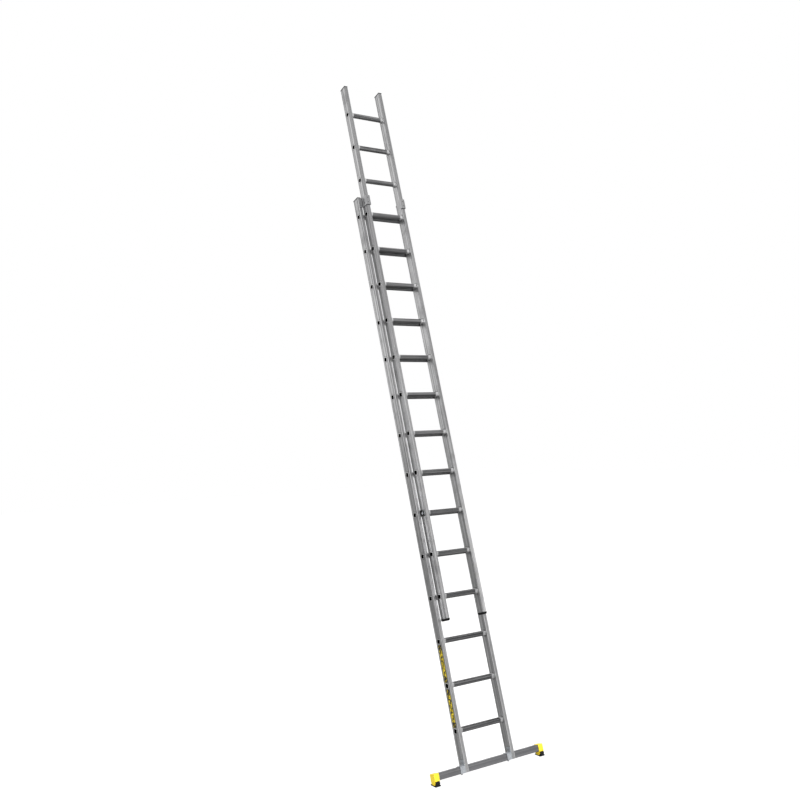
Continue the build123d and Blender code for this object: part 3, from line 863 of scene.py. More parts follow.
@dataclass(frozen=True)
class MillAluminium:
    """Bare extruded aluminium: die lines along its length, cloudy oxide, scuffs, handling dirt and painted
    shade in its hollows; on rungs, a painted highlight on the swaged ends and painted shade in the bore.

    Attributes:
        name: the material's name.
        light: colour of the clean metal.
        dark: colour of the oxide and the die lines.
        dirt: colour of the dirt round the rung ends and of the painted shade in the hollows.
        grain: direction of the die lines.
        roughness: roughness of the clean metal.
        row: where rungs pass through, for the dirt round their swaged ends.
        polish: distance from the middle at which a painted highlight lightens a rung's swaged ends and
            painted shade darkens its bore, if it does.
    """

    name: str
    light: Colour
    dark: Colour
    dirt: Colour
    grain: Grain
    roughness: float = 0.36
    row: RungRow | None = None
    polish: float | None = None

    LINES = 620.0                   # die lines to the metre
    CREVICE = 9 * MM                # reach of the painted shade in hollows and corners
    COARSE = 0.24                   # frequency of the broad bands against the fine lines
    DRIFT = 2.2                     # how fast they wander along the length
    CLOUDS = 9.0
    SCUFFS = 46.0
    SCUFF_SHAPE = (1.0, 2.6, 0.7)
    STAIN_START = 19 * MM
    STAIN_END = 34 * MM
    # painted highlight on the swaged rung ends: its length and its near-white colour
    POLISH_LENGTH = 24 * MM
    BURNISHED = (0.96, 0.96, 0.965)
    SHADE = (0.02, 0.02, 0.02)      # painted shade on the inside of a hollow piece
    BORE = "bore"                   # attribute that marks the inside of a hollow piece, where painted shade goes

    def build(self, leaning: LeaningFrame) -> Material:
        """Makes the material.

        Args:
            leaning: the ladder's leaning frame.

        Returns:
            The material.
        """
        graph = ShaderGraph(self.name, leaning)
        scale = [self.LINES if across else self.DRIFT for across in self.grain.value]
        lines = graph.noise(graph.stretched(scale), 1.0, detail=2.0)
        coarse = graph.noise(graph.stretched([value * self.COARSE for value in scale]), 1.0, detail=2.0)
        clouds = graph.noise(graph.local, self.CLOUDS, detail=5.0, rough=0.6)
        scuffed = graph.stretched([self.SCUFFS * share for share in self.SCUFF_SHAPE])
        scuffs = graph.noise(scuffed, 1.0, detail=6.0, rough=0.72)
        tone = graph.maths("MULTIPLY_ADD", lines, 0.4, graph.maths("MULTIPLY", coarse, 0.6))
        metal = graph.mixed(graph.ranged(tone, 0.36, 0.62), self.dark, self.light)
        metal = graph.mixed(graph.ranged(clouds, 0.52, 0.78, 0.0, 0.45), metal, self.dark)
        worn = graph.ranged(scuffs, 0.63, 0.72)
        metal = graph.mixed(graph.maths("MULTIPLY", worn, 0.5), metal, self.light)
        rough = graph.ranged(clouds, 0.3, 0.75, self.roughness - 0.05, self.roughness + 0.12)
        if self.row:
            metal = graph.mixed(self.stain(graph, clouds), metal, self.dirt)
        # painted shade: ambient occlusion darkens hollows, corners and joints towards the dark dirt colour
        metal = graph.mixed(graph.crevices(self.CREVICE), metal, self.dirt)
        # painted highlight: the swaged rung ends are lightened towards near white
        if self.polish:
            x, _, _ = graph.parts(graph.local)
            reach = graph.maths("ABSOLUTE", x)
            start = self.polish - self.POLISH_LENGTH
            bright = graph.ranged(reach, start, start + self.POLISH_LENGTH * 0.3)
            metal = graph.mixed(graph.maths("MULTIPLY", bright, 0.85), metal, self.BURNISHED)
            # painted shade: the rung's bore is painted near black
            metal = graph.mixed(graph.attribute(self.BORE), metal, self.SHADE)
        graph.bump(graph.maths("ADD", lines, graph.maths("MULTIPLY", coarse, 0.6)), 0.05 * MM)
        graph.bump(scuffs, 0.03 * MM)
        rough = graph.maths("ADD", rough, graph.maths("MULTIPLY", lines, 0.08))
        return graph.finish(metal, rough, Metallic=1.0)

    def stain(self, graph: ShaderGraph, clouds: Socket) -> Socket:
        """How strongly dirt shows round each swaged rung end.

        Args:
            graph: the material's node tree.
            clouds: noise that makes the dirt patchy.

        Returns:
            The share of dirt.
        """
        _, y, z = graph.parts(graph.local)
        up = graph.maths("SUBTRACT", z, self.row.first)
        near = graph.maths("WRAP", up, self.row.pitch / 2, -self.row.pitch / 2)
        aside = graph.maths("SUBTRACT", y, self.row.depth)
        squares = [graph.maths("MULTIPLY", side, side) for side in (near, aside)]
        away = graph.maths("SQRT", graph.maths("ADD", *squares))
        patchy = graph.maths("MULTIPLY_ADD", clouds, 12 * MM, away)
        return graph.ranged(patchy, self.STAIN_START, self.STAIN_END, 0.55, 0.0)


@dataclass(frozen=True)
class MouldedPlastic:
    """Injection-moulded plastic with a fine spark-eroded texture, flow marks and rubbed dust.

    Attributes:
        name: the material's name.
        colour: main colour.
        second: colour of the flow marks and of the rubbed places.
        roughness: roughness of the moulded skin.
        texture: grains to the metre.
        relief: depth of the texture.
        shine: strength of the mirrored light.
    """

    name: str
    colour: Colour
    second: Colour
    roughness: float = 0.45
    texture: float = 1500.0
    relief: float = 0.05 * MM
    shine: float = 0.5

    def build(self, leaning: LeaningFrame) -> Material:
        """Makes the material.

        Args:
            leaning: the ladder's leaning frame.

        Returns:
            The material.
        """
        graph = ShaderGraph(self.name, leaning)
        grain = graph.noise(graph.local, self.texture, detail=2.0)
        flow = graph.noise(graph.stretched((30.0, 30.0, 12.0)), 1.0, detail=4.0)
        rubs = graph.noise(graph.stretched((160.0, 60.0, 90.0)), 1.0, detail=6.0, rough=0.7)
        colour = graph.mixed(graph.ranged(flow, 0.4, 0.75, 0.0, 0.6), self.colour, self.second)
        colour = graph.mixed(graph.ranged(rubs, 0.62, 0.74, 0.0, 0.35), colour, self.second)
        rough = graph.ranged(flow, 0.3, 0.7, self.roughness - 0.06, self.roughness + 0.08)
        graph.bump(grain, self.relief)
        graph.bump(rubs, 0.04 * MM)
        rough = graph.maths("MULTIPLY_ADD", grain, 0.1, rough)
        return graph.finish(colour, rough, Metallic=0.0, Specular_IOR_Level=self.shine)


@dataclass(frozen=True)
class MouldedRubber:
    """Black rubber with a matt bloom and dust near the floor.

    Attributes:
        name: the material's name.
        colour: colour of clean rubber.
        dust: colour of the dust.
        dust_height: world height below which dust shows.
    """

    name: str
    colour: Colour
    dust: Colour
    dust_height: float

    def build(self, leaning: LeaningFrame) -> Material:
        """Makes the material.

        Args:
            leaning: the ladder's leaning frame.

        Returns:
            The material.
        """
        graph = ShaderGraph(self.name, leaning)
        bloom = graph.noise(graph.upright, 45.0, detail=6.0, rough=0.65)
        grain = graph.noise(graph.upright, 2100.0, detail=1.0)
        _, _, height = graph.parts(graph.upright)
        patchy = graph.maths("MULTIPLY_ADD", bloom, 10 * MM, height)
        low = graph.ranged(patchy, 0.0, self.dust_height, 0.45, 0.0)
        colour = graph.mixed(graph.ranged(bloom, 0.45, 0.8, 0.0, 0.22), self.colour, self.dust)
        colour = graph.mixed(low, colour, self.dust)
        rough = graph.ranged(bloom, 0.3, 0.8, 0.62, 0.86)
        graph.bump(grain, 0.08 * MM)
        return graph.finish(colour, rough, Metallic=0.0, Specular_IOR_Level=0.2)


@dataclass(frozen=True)
class PlatedSteel:
    """Zinc-plated steel with a fine crystalline bloom.

    Attributes:
        name: the material's name.
        light: brightest plating.
        dark: dullest plating.
        roughness: mean roughness.
        crystal: crystals to the metre.
    """

    name: str
    light: Colour
    dark: Colour
    roughness: float = 0.34
    crystal: float = 420.0

    def build(self, leaning: LeaningFrame) -> Material:
        """Makes the material.

        Args:
            leaning: the ladder's leaning frame.

        Returns:
            The material.
        """
        graph = ShaderGraph(self.name, leaning)
        crystals = graph.cells(graph.local, self.crystal)
        haze = graph.noise(graph.local, 60.0, detail=5.0)
        wear = graph.noise(graph.stretched((90.0, 240.0, 90.0)), 1.0, detail=6.0, rough=0.7)
        tone = graph.maths("MULTIPLY_ADD", crystals, 0.3, graph.maths("MULTIPLY", haze, 0.7))
        colour = graph.mixed(graph.ranged(tone, 0.25, 0.75), self.dark, self.light)
        colour = graph.mixed(graph.ranged(wear, 0.64, 0.74, 0.0, 0.4), colour, self.dark)
        rough = graph.ranged(tone, 0.2, 0.8, self.roughness + 0.08, self.roughness - 0.06)
        graph.bump(wear, 0.03 * MM)
        return graph.finish(colour, rough, Metallic=1.0)


@dataclass(frozen=True)
class HazardFilm:
    """A printed sticker with a plain black and yellow pattern and no lettering.

    Attributes:
        name: the material's name.
        ink: the dark ink.
        ground: the bright ground.
        middle: local height of the sticker's middle.
        half: half the sticker's length.
        band: spacing of the slanted marks.
    """

    name: str
    ink: Colour
    ground: Colour
    middle: float
    half: float
    band: float = 46 * MM

    def build(self, leaning: LeaningFrame) -> Material:
        """Makes the material.

        Args:
            leaning: the ladder's leaning frame.

        Returns:
            The material.
        """
        graph = ShaderGraph(self.name, leaning)
        _, y, z = graph.parts(graph.local)
        along = graph.maths("SUBTRACT", z, self.middle)
        wander = graph.noise(graph.stretched((40.0, 40.0, 40.0)), 1.0, detail=1.0)
        shifted = graph.maths("MULTIPLY_ADD", wander, 26 * MM, graph.maths("MULTIPLY_ADD", y, 1.2, along))
        stripes = graph.maths("WRAP", shifted, self.band / 2, -self.band / 2)
        off_stripe = graph.maths("ABSOLUTE", stripes)
        slants = graph.ranged(off_stripe, 5 * MM, 6 * MM, 1.0, 0.0)
        blots = graph.noise(graph.stretched((90.0, 130.0, 70.0)), 1.0, detail=2.0)
        across = graph.maths("ABSOLUTE", y)
        inside = graph.ranged(across, 9 * MM, 10 * MM, 1.0, 0.0)
        figures = graph.maths("MULTIPLY", graph.ranged(blots, 0.46, 0.49), inside)
        border = graph.ranged(across, 14 * MM, 15 * MM)
        ends = graph.ranged(graph.maths("ABSOLUTE", along), self.half - 34 * MM, self.half - 33 * MM)
        chevrons = graph.maths("MULTIPLY", ends, graph.ranged(off_stripe, 12 * MM, 13 * MM))
        printed = slants
        for mark in (figures, chevrons, border):
            printed = graph.maths("MAXIMUM", printed, mark)
        scratches = graph.noise(graph.stretched((70.0, 300.0, 30.0)), 1.0, detail=6.0, rough=0.7)
        colour = graph.mixed(printed, self.ground, self.ink)
        colour = graph.mixed(graph.ranged(scratches, 0.64, 0.72, 0.0, 0.5), colour, (0.42, 0.42, 0.40))
        rough = graph.ranged(scratches, 0.3, 0.8, 0.3, 0.55)
        graph.bump(printed, 0.02 * MM)
        return graph.finish(colour, rough, Metallic=0.0, Specular_IOR_Level=0.5)


# ---- sub-assemblies ------------------------------------------------------------------------
@dataclass(frozen=True)
class Section:
    """Which section of the ladder a piece belongs to."""

    name: str
    body: Body

    @property
    def rungs(self) -> list[str]:
        """The section's rung nodes, from the lowest up."""
        return sorted(node for node in frame["nodes"] if node.startswith(f"{self.name}_rung_"))

    def first_and_spacing(self) -> tuple[Vector, Vector]:
        """World middle of the lowest rung, and the step from each rung to the next."""
        first, last = (sum(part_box(node), Vector()) / 2 for node in (self.rungs[0], self.rungs[-1]))
        return first, (last - first) / (len(self.rungs) - 1)

    def row(self, leaning: LeaningFrame) -> RungRow:
        """Where the section's rungs are.

        Args:
            leaning: the ladder's leaning frame.

        Returns:
            The row.
        """
        middles = [leaning.box(node).centre for node in self.rungs]
        pitch = (middles[-1].z - middles[0].z) / (len(middles) - 1)
        return RungRow(middles[0].z, pitch, middles[0].y)


BASE = Section("base", Body.BASE)
FLY = Section("fly", Body.FLY)


@dataclass(frozen=True)
class RungSection:
    """The D-shaped section of a rung, with its tread level.

    Attributes:
        depth: front to back.
        height: tread to underside.
        top_corner: radius at the tread's edges.
        bottom_corner: radius at the lower edges.
        grooves: number of tread grooves.
        groove_pitch: spacing of the grooves.
        groove_width: width of each groove.
        groove_depth: depth of each groove.
        lower_segments: faces round each lower corner.
        upper_segments: faces round each upper corner.
        sharpest: least radius of the tread's edges.
    """

    depth: float = 32 * MM
    height: float = 30 * MM
    top_corner: float = 2 * MM
    bottom_corner: float = 12 * MM
    grooves: int = 8
    groove_pitch: float = 3.4 * MM
    groove_width: float = 1.5 * MM
    groove_depth: float = 0.9 * MM
    lower_segments: int = 8
    upper_segments: int = 3
    sharpest: float = 0.3 * MM

    def outline(self, margin: float, relief: float) -> Loop:
        """The section's outline, always with the same number of points.

        Args:
            margin: how far it stands outside the plain section.
            relief: share of the grooves' full depth.

        Returns:
            Points (y, z) about the section's middle.
        """
        half = self.depth / 2 + margin
        tall = self.height / 2 + margin
        lower = self.bottom_corner + margin
        upper = max(self.top_corner + margin, self.sharpest)
        below = [(-half, -tall, lower), (half, -tall, lower), (half, tall, 0), (-half, tall, 0)]
        above = [(-half, -tall, 0), (half, -tall, 0), (half, tall, upper), (-half, tall, upper)]
        bottom = arc_outline(below, self.lower_segments)
        top = arc_outline(above, self.upper_segments)
        right = top[2:3 + self.upper_segments]
        left = top[3 + self.upper_segments:]
        return bottom[:-2] + right + self.tread(tall, relief) + left

    def tread(self, tall: float, relief: float) -> Loop:
        """Points of the grooves, from the rear edge of the tread to the front.

        Args:
            tall: height of the tread above the section's middle.
            relief: share of the grooves' full depth.

        Returns:
            The points (y, z).
        """
        points = []
        floor = tall - self.groove_depth * relief
        for number in range(self.grooves):
            middle = (self.grooves - 1) * self.groove_pitch / 2 - number * self.groove_pitch
            rear = middle + self.groove_width / 2
            front = middle - self.groove_width / 2
            points += [(rear, tall), (rear, floor), (front, floor), (front, tall)]
        return points


@dataclass(frozen=True)
class RungSet:
    """The swaged rungs of one section, made once and repeated up the stiles.

    Attributes:
        section: which section they belong to.
        shape: the rung's section.
        lip: how far a swaged end stands out of the stile.
        stile: width of a stile.
    """

    section: Section
    shape: RungSection = RungSection()
    lip: float = 1.2 * MM
    stile: float = 25 * MM

    # (millimetres inwards from the mouth of the rung, margin in millimetres, relief) on the outer skin
    MOUTH = (
        (0.0, -1.0, 0.0),
        (0.0, 1.4, 0.0),
        (0.3, 2.2, 0.0),
        (0.7, 2.5, 0.0),
        (1.2, 2.5, 0.0),
        (1.2, 0.1, 0.0),
    )
    # the same, measured from the stile's inner face towards the ladder's middle
    FLARE = (
        (0.0, 0.1, 0.0),
        (0.0, 2.5, 0.0),
        (0.9, 2.5, 0.0),
        (1.6, 2.1, 0.0),
        (4.0, 1.9, 0.0),
        (9.0, 1.6, 0.0),
        (14.0, 1.0, 0.2),
        (19.0, 0.35, 0.7),
        (24.0, 0.0, 1.0),
    )
    # the inner skin from the mouth inwards
    BORE = ((0.0, -1.5, 0.0), (0.8, -1.9, 0.0), (2.0, -2.0, 0.0))

    def one_rung(self) -> Mesh:
        """The section's lowest rung.

        Returns:
            The mesh, in its place in the world.
        """
        low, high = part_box(self.section.rungs[0])
        reach = (high.x - low.x) / 2
        middle = (low + high) / 2
        inner = self.inner_reach(self.section)
        stations = [(reach - inset * MM, margin * MM, relief) for inset, margin, relief in self.MOUTH]
        stations += [(inner - inset * MM, margin * MM, relief) for inset, margin, relief in self.FLARE]
        bore = [(reach - inset * MM, margin * MM, relief) for inset, margin, relief in self.BORE]
        skin = self.mirrored(stations)
        lining = self.mirrored(bore)
        rings = []
        for x, margin, relief in skin + lining[::-1]:
            outline = self.shape.outline(margin, relief)
            rings.append([Vector((x, middle.y + y, middle.z + z)) for y, z in outline])
        mesh = Shell().loft(rings, hollow=True).mesh(f"{self.section.name}_rung")
        # marks the bore, which the rung metal paints dark as shade
        inside = mesh.attributes.new(MillAluminium.BORE, "FLOAT", "POINT")
        count = len(mesh.vertices)
        first_inside = len(skin) * count // len(rings)
        inside.data.foreach_set("value", [float(index >= first_inside) for index in range(count)])
        return mesh

    @classmethod
    def inner_reach(cls, section: Section) -> float:
        """Distance from the ladder's middle to a section's inner faces."""
        low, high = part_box(section.rungs[0])
        return (high.x - low.x) / 2 - cls.lip - cls.stile

    @staticmethod
    def mirrored(stations: list[Corner]) -> list[Corner]:
        """The stations from the right mouth to the left one."""
        return stations + [(-x, margin, relief) for x, margin, relief in reversed(stations)]

    def build(self, tree: GeometryTree, material: Material) -> None:
        """Repeats the rung and adds the section's rungs as one piece.

        Args:
            tree: the tree that repeats a piece in a row.
            material: its finish.
        """
        nodes = self.section.rungs
        _, spacing = self.section.first_and_spacing()
        values = {"Count": len(nodes), "Spacing": spacing, "Material": material}
        name = f"{self.section.name}_rungs"
        mesh = tree.apply(name, self.one_rung(), values)
        add_piece(name, mesh, material, Slot.RUNGS, self.section.body, nodes)


@dataclass(frozen=True)
class Stile:
    """A drawn stile: hollow, with flutes down its sides and a groove front and rear.

    Attributes:
        section: which section it belongs to.
        hand: which side it is on.
        corner: radius of the outer corners.
        inner_corner: radius of the corners inside.
        edge: radius of the flutes' edges.
        side_wall: thickness of the sides.
        end_wall: thickness of the front and rear.
        flute_inset: a flute's middle to the front or rear face.
        flute_width: width of a flute.
        flute_depth: depth of a flute or groove.
        groove_width: width of the groove down the front and rear.
        hole_margin: clearance round a rung.
        overcut: how far cutting shapes stand past what they cut.
    """

    section: Section
    hand: Hand
    corner: float = 2.5 * MM
    inner_corner: float = 1.2 * MM
    edge: float = 0.35 * MM
    side_wall: float = 2.2 * MM
    end_wall: float = 2.6 * MM
    flute_inset: float = 8.5 * MM
    flute_width: float = 5 * MM
    flute_depth: float = 0.9 * MM
    groove_width: float = 5 * MM
    hole_margin: float = 0.15 * MM
    overcut: float = 4 * MM

    @property
    def node(self) -> str:
        """The stile's CAD node."""
        return f"{self.section.name}_{self.hand.word}_stile"

    def outer(self, width: float, depth: float) -> Loop:
        """The section's outside, about its own middle.

        Args:
            width: size across the ladder.
            depth: size front to back.

        Returns:
            The closed outline.
        """
        half = width / 2
        back = depth / 2
        low = back - self.flute_inset - self.flute_width / 2
        high = low + self.flute_width
        floor = half - self.flute_depth
        slot = self.groove_width / 2
        side_and_rear = [(half, -back, self.corner)]
        for start, end in ((-high, -low), (low, high)):
            flute = ((half, start), (floor, start), (floor, end), (half, end))
            side_and_rear += [(x, y, self.edge) for x, y in flute]
        side_and_rear.append((half, back, self.corner))
        sunk = back - self.flute_depth
        groove = ((slot, back), (slot, sunk), (-slot, sunk), (-slot, back))
        side_and_rear += [(x, y, self.edge) for x, y in groove]
        return arc_outline(side_and_rear + [(-x, -y, radius) for x, y, radius in side_and_rear], 4)

    def inner(self, width: float, depth: float) -> Loop:
        """The section's inside.

        Args:
            width: size of the outside across the ladder.
            depth: size of the outside front to back.

        Returns:
            The closed outline.
        """
        half = width / 2 - self.side_wall
        back = depth / 2 - self.end_wall
        corners = ((half, -back), (half, back), (-half, back), (-half, -back))
        return arc_outline([(x, y, self.inner_corner) for x, y in corners], 3)

    def build(self, tree: GeometryTree, leaning: LeaningFrame, material: Material) -> None:
        """Draws the section out, cuts the rung holes and adds the stile.

        Args:
            tree: the tree that draws a section out.
            leaning: the ladder's leaning frame.
            material: its finish.
        """
        box = leaning.box(self.node)
        section = section_curve([self.outer(box.size.x, box.size.y), self.inner(box.size.x, box.size.y)])
        first, spacing = self.section.first_and_spacing()
        cutter = scratch_object("rung cutter", self.rung_cutter(box, first))
        values = {
            "Section": section,
            "Run": (0.0, 0.0, box.size.z),
            "Place": leaning.world(box.centre.x, box.centre.y, box.low.z),
            "Lean": -leaning.lean,
            "Cutter": cutter,
            "Count": len(self.section.rungs),
            "Spacing": spacing,
            "Material": material,
        }
        mesh = tree.apply(self.node, self.foot_cutter(leaning, box), values)
        for helper in (section, cutter):
            bpy.data.objects.remove(helper)
        add_piece(f"{self.node}_extrusion", mesh, material, Slot.STILES, self.section.body, [self.node])

    def rung_cutter(self, box: Box, first: Vector) -> Mesh:
        """A solid that cuts the lowest rung's hole.

        Args:
            box: the stile's local box.
            first: world middle of the lowest rung.

        Returns:
            The mesh.
        """
        outline = RungSection().outline(self.hole_margin, 0.0)
        ends = (box.low.x - self.overcut, box.high.x + self.overcut)
        shell = Shell().prism(outline, lambda y, z, x: Vector((x, first.y + y, first.z + z)), ends)
        return shell.mesh("rung_cutter")

    def foot_cutter(self, leaning: LeaningFrame, box: Box) -> Mesh:
        """A solid that notches a base stile's foot for the bar, or nothing on the fly section.

        Args:
            leaning: the ladder's leaning frame.
            box: the stile's local box.

        Returns:
            The mesh, which may be empty.
        """
        shell = Shell()
        if self.section is BASE:
            bar = leaning.box("stabiliser_bar")
            left, right = box.low.x - self.overcut, box.high.x + self.overcut
            front, rear = bar.low.y, box.high.y + self.overcut
            corners = [(left, front), (right, front), (right, rear), (left, rear)]
            shell.prism(corners, lambda x, y, z: Vector((x, y, z)), (box.low.z - self.overcut, bar.high.z))
        return shell.mesh("foot_cutter", leaning.matrix)


def section_curve(outlines: Sequence[Loop]) -> Object:
    """A flat curve with a closed line for each outline.

    Args:
        outlines: closed outlines, the outside first.

    Returns:
        The curve object.
    """
    data = bpy.data.curves.new("section", "CURVE")
    data.dimensions = "3D"
    for outline in outlines:
        spline = data.splines.new("POLY")
        spline.points.add(len(outline) - 1)
        for point, (x, y) in zip(spline.points, outline):
            point.co = (x, y, 0.0, 1.0)
        spline.use_cyclic_u = True
    return scratch_object("section", data)


@dataclass(frozen=True)
class Fasteners:
    """Rivets, bolts and nuts, set at the places of their CAD solids.

    Attributes:
        leaning: the ladder's leaning frame.
        hex_radius: hexagon's corner radius.
        head: height of a bolt's head.
        thread_radius: radius of the bolts.
        thread_pitch: spacing of the thread's crests.
        thread_depth: depth of the thread.
        chamfer: height of the hexagons' chamfers.
        rivet_radius: radius of a rivet's shank.
        rivet_head: radius of its head.
        rivet_dome: height of its head.
    """

    leaning: LeaningFrame
    hex_radius: float = 7.5 * MM
    head: float = 5.3 * MM
    thread_radius: float = 4 * MM
    thread_pitch: float = 1.25 * MM
    thread_depth: float = 0.6 * MM
    chamfer: float = 0.9 * MM
    rivet_radius: float = 2.5 * MM
    rivet_head: float = 4.5 * MM
    rivet_dome: float = 2 * MM

    FACING = "facing"               # attribute that holds the direction of each fastener
    SIDES = 24                      # points round a hexagon
    DOME_STEPS = 5
    TRIM = 0.87                     # chamfered face's radius against the hexagon's corners
    PLAIN = 0.35                    # share of a bolt's grip that has no thread
    # (share of the shank's radius, share of the length below the head) down the set tail, from its end
    TAIL = ((1.1, 1.0), (1.4, 0.8), (1.4, 0.62), (1.0, 0.6))

    def hexed(self, height: float, bored: bool) -> Mesh:
        """A hexagon head or nut standing on its face, with its corners chamfered.

        Args:
            height: its height.
            bored: True for a nut, with a hole for the thread.

        Returns:
            The mesh, with its face at the origin.
        """
        per_side = self.SIDES // 6
        full = hexagon(self.hex_radius, per_side)
        limit = self.hex_radius * self.TRIM
        trimmed = [tuple(Vector(point).normalized() * min(Vector(point).length, limit)) for point in full]
        levels = [(trimmed, 0.0), (full, self.chamfer * 0.6)]
        levels += [(full, height - self.chamfer), (trimmed, height)]
        if bored:
            hole = circle(self.thread_radius, self.SIDES)
            wide = circle(self.thread_radius + self.thread_depth, self.SIDES)
            levels += [(wide, height), (hole, height - self.thread_depth)]
            levels += [(hole, self.thread_depth), (wide, 0.0)]
        rings = [[Vector((x, y, z)) for x, y in outline] for outline, z in levels]
        return Shell().loft(rings, hollow=bored).mesh("hexagon")

    def turned(self, profile: Sequence[tuple[float, float]]) -> Shell:
        """A solid of revolution about Z through (radius, height) points."""
        rings = [[Vector((x, y, z)) for x, y in circle(radius, self.SIDES // 2)] for radius, z in profile]
        return Shell().loft(rings)

    def bolt(self, grip: float) -> Mesh:
        """A bolt whose head stands on the origin and whose shank goes down by the grip.

        Args:
            grip: length of the shank.

        Returns:
            The mesh.
        """
        depth = grip * self.PLAIN
        profile = [(self.thread_radius, 0.0), (self.thread_radius, -depth)]
        while depth < grip - self.thread_pitch:
            profile.append((self.thread_radius - self.thread_depth, -depth - self.thread_pitch / 2))
            profile.append((self.thread_radius, -depth - self.thread_pitch))
            depth += self.thread_pitch
        profile.append((self.thread_radius - self.thread_depth, -grip))
        shell = self.turned(profile)
        shell.work.from_mesh(self.hexed(self.head, bored=False))
        return shell.mesh("bolt")

    def rivet(self, length: float) -> Mesh:
        """A domed rivet: head above the origin, shank and set tail below.

        Args:
            length: length below the head.

        Returns:
            The mesh.
        """
        arc = [math.pi / 2 * step / self.DOME_STEPS for step in range(self.DOME_STEPS)]
        dome = [(self.rivet_head * math.cos(angle), self.rivet_dome * math.sin(angle)) for angle in arc]
        dome.append((self.rivet_head * 0.12, self.rivet_dome))
        tail = [(self.rivet_radius * share, -length * depth) for share, depth in self.TAIL]
        return self.turned(tail + [(self.rivet_radius, 0.0), (self.rivet_head, 0.0)] + dome).mesh("rivet")

    def scattered(
        self, tree: GeometryTree, shape: Mesh, places: Sequence[tuple[Vector, Vector]], material: Material
    ) -> Mesh:
        """The shape at each place.

        Args:
            tree: the tree that sets shapes on points.
            shape: mesh standing on the origin along +Z.
            places: (world place, world direction that the shape faces).
            material: its finish.

        Returns:
            One mesh with all the copies.
        """
        host = bpy.data.meshes.new("places")
        host.from_pydata([place for place, _ in places], [], [])
        facing = host.attributes.new(self.FACING, "FLOAT_VECTOR", "POINT")
        for item, (_, direction) in zip(facing.data, places):
            item.vector = direction
        helper = scratch_object("shape", shape)
        made = tree.apply("fasteners", host, {"Shape": helper, "Material": material})
        bpy.data.objects.remove(helper)
        return made

    def build_rivets(self, tree: GeometryTree, material: Material) -> None:
        """The guide brackets' rivets, heads to the front.

        Args:
            tree: the tree that sets shapes on points.
            material: their finish.
        """
        boxes = self.leaning.solids("guide_rivets")
        forward = self.leaning.world(0, -1, 0)
        seats = [(box.centre.x, box.low.y + self.rivet_dome, box.centre.z) for box in boxes]
        places = [(self.leaning.world(*seat), forward) for seat in seats]
        mesh = self.scattered(tree, self.rivet(boxes[0].size.y - self.rivet_dome), places, material)
        add_piece("guide_rivet_set", mesh, material, Slot.FASTENERS, Body.BASE, ["guide_rivets"])

    def build_bolts(self, tree: GeometryTree, material: Material) -> None:
        """The bar brackets' bolts: one down through the bar and one through the stile, at each side.

        Args:
            tree: the tree that sets shapes on points.
            material: their finish.
        """
        parts = []
        for box in self.leaning.solids("bracket_bolts"):
            if box.size.z > box.size.x:
                place = self.leaning.world(box.centre.x, box.centre.y, box.high.z - self.head)
                facing, grip = self.leaning.world(0, 0, 1), box.size.z - self.head
            else:
                place = self.leaning.world(box.low.x + self.head, box.centre.y, box.centre.z)
                facing, grip = Vector((-1, 0, 0)), box.size.x - self.head
            parts.append(self.scattered(tree, self.bolt(grip), [(place, facing)], material))
        add_piece("bracket_bolt_set", joined(parts), material, Slot.FASTENERS, Body.BASE, ["bracket_bolts"])

    def build_nuts(self, tree: GeometryTree, material: Material) -> None:
        """The bar brackets' nuts, under the bar and on the stiles' right faces.

        Args:
            tree: the tree that sets shapes on points.
            material: their finish.
        """
        boxes = self.leaning.solids("bracket_nuts")
        height = min(min(box.size) for box in boxes)
        places = []
        for box in boxes:
            if box.size.z < box.size.x:
                place = self.leaning.world(box.centre.x, box.centre.y, box.high.z)
                places.append((place, self.leaning.world(0, 0, -1)))
            else:
                place = self.leaning.world(box.low.x, box.centre.y, box.centre.z)
                places.append((place, Vector((1, 0, 0))))
        mesh = self.scattered(tree, self.hexed(height, bored=True), places, material)
        add_piece("bracket_nut_set", mesh, material, Slot.FASTENERS, Body.BASE, ["bracket_nuts"])


def joined(meshes: Sequence[Mesh]) -> Mesh:
    """Several meshes as one.

    Args:
        meshes: the meshes.

    Returns:
        A new mesh.
    """
    work = bmesh.new()
    for mesh in meshes:
        work.from_mesh(mesh)
    made = bpy.data.meshes.new("joined")
    work.to_mesh(made)
    work.free()
    return made


@dataclass(frozen=True)
class GuideBrackets:
    """The bent brackets at the base stiles' tops that guide the fly stiles, and their glide pads.

    Attributes:
        edge: rounding of their edges.
    """

    edge: float = 0.35 * MM

    def build(self, metal: Material, nylon: Material) -> None:
        """Adds both brackets and their pads.

        Args:
            metal: the brackets' finish.
            nylon: the pads' finish.
        """
        for hand in Hand:
            add_remade(f"{hand.word}_guide_bracket", "pressing", self.edge, metal, Slot.GUIDES, Body.BASE)
            add_remade(f"{hand.word}_glide_pad", "moulding", self.edge, nylon, Slot.GLIDES, Body.BASE)


@dataclass(frozen=True)
class EndCaps:
    """The moulded caps on the stiles' ends.

    Attributes:
        edge: rounding of their edges.
    """

    edge: float = 0.5 * MM

    def build(self, plastic: Material) -> None:
        """Adds every cap as a piece.

        Args:
            plastic: their finish.
        """
        for section in (BASE, FLY):
            own = [node for node in frame["nodes"] if node.startswith(section.name)]
            for node in sorted(node for node in own if node.endswith("_cap")):
                add_remade(node, "moulding", self.edge, plastic, Slot.CAPS, section.body)


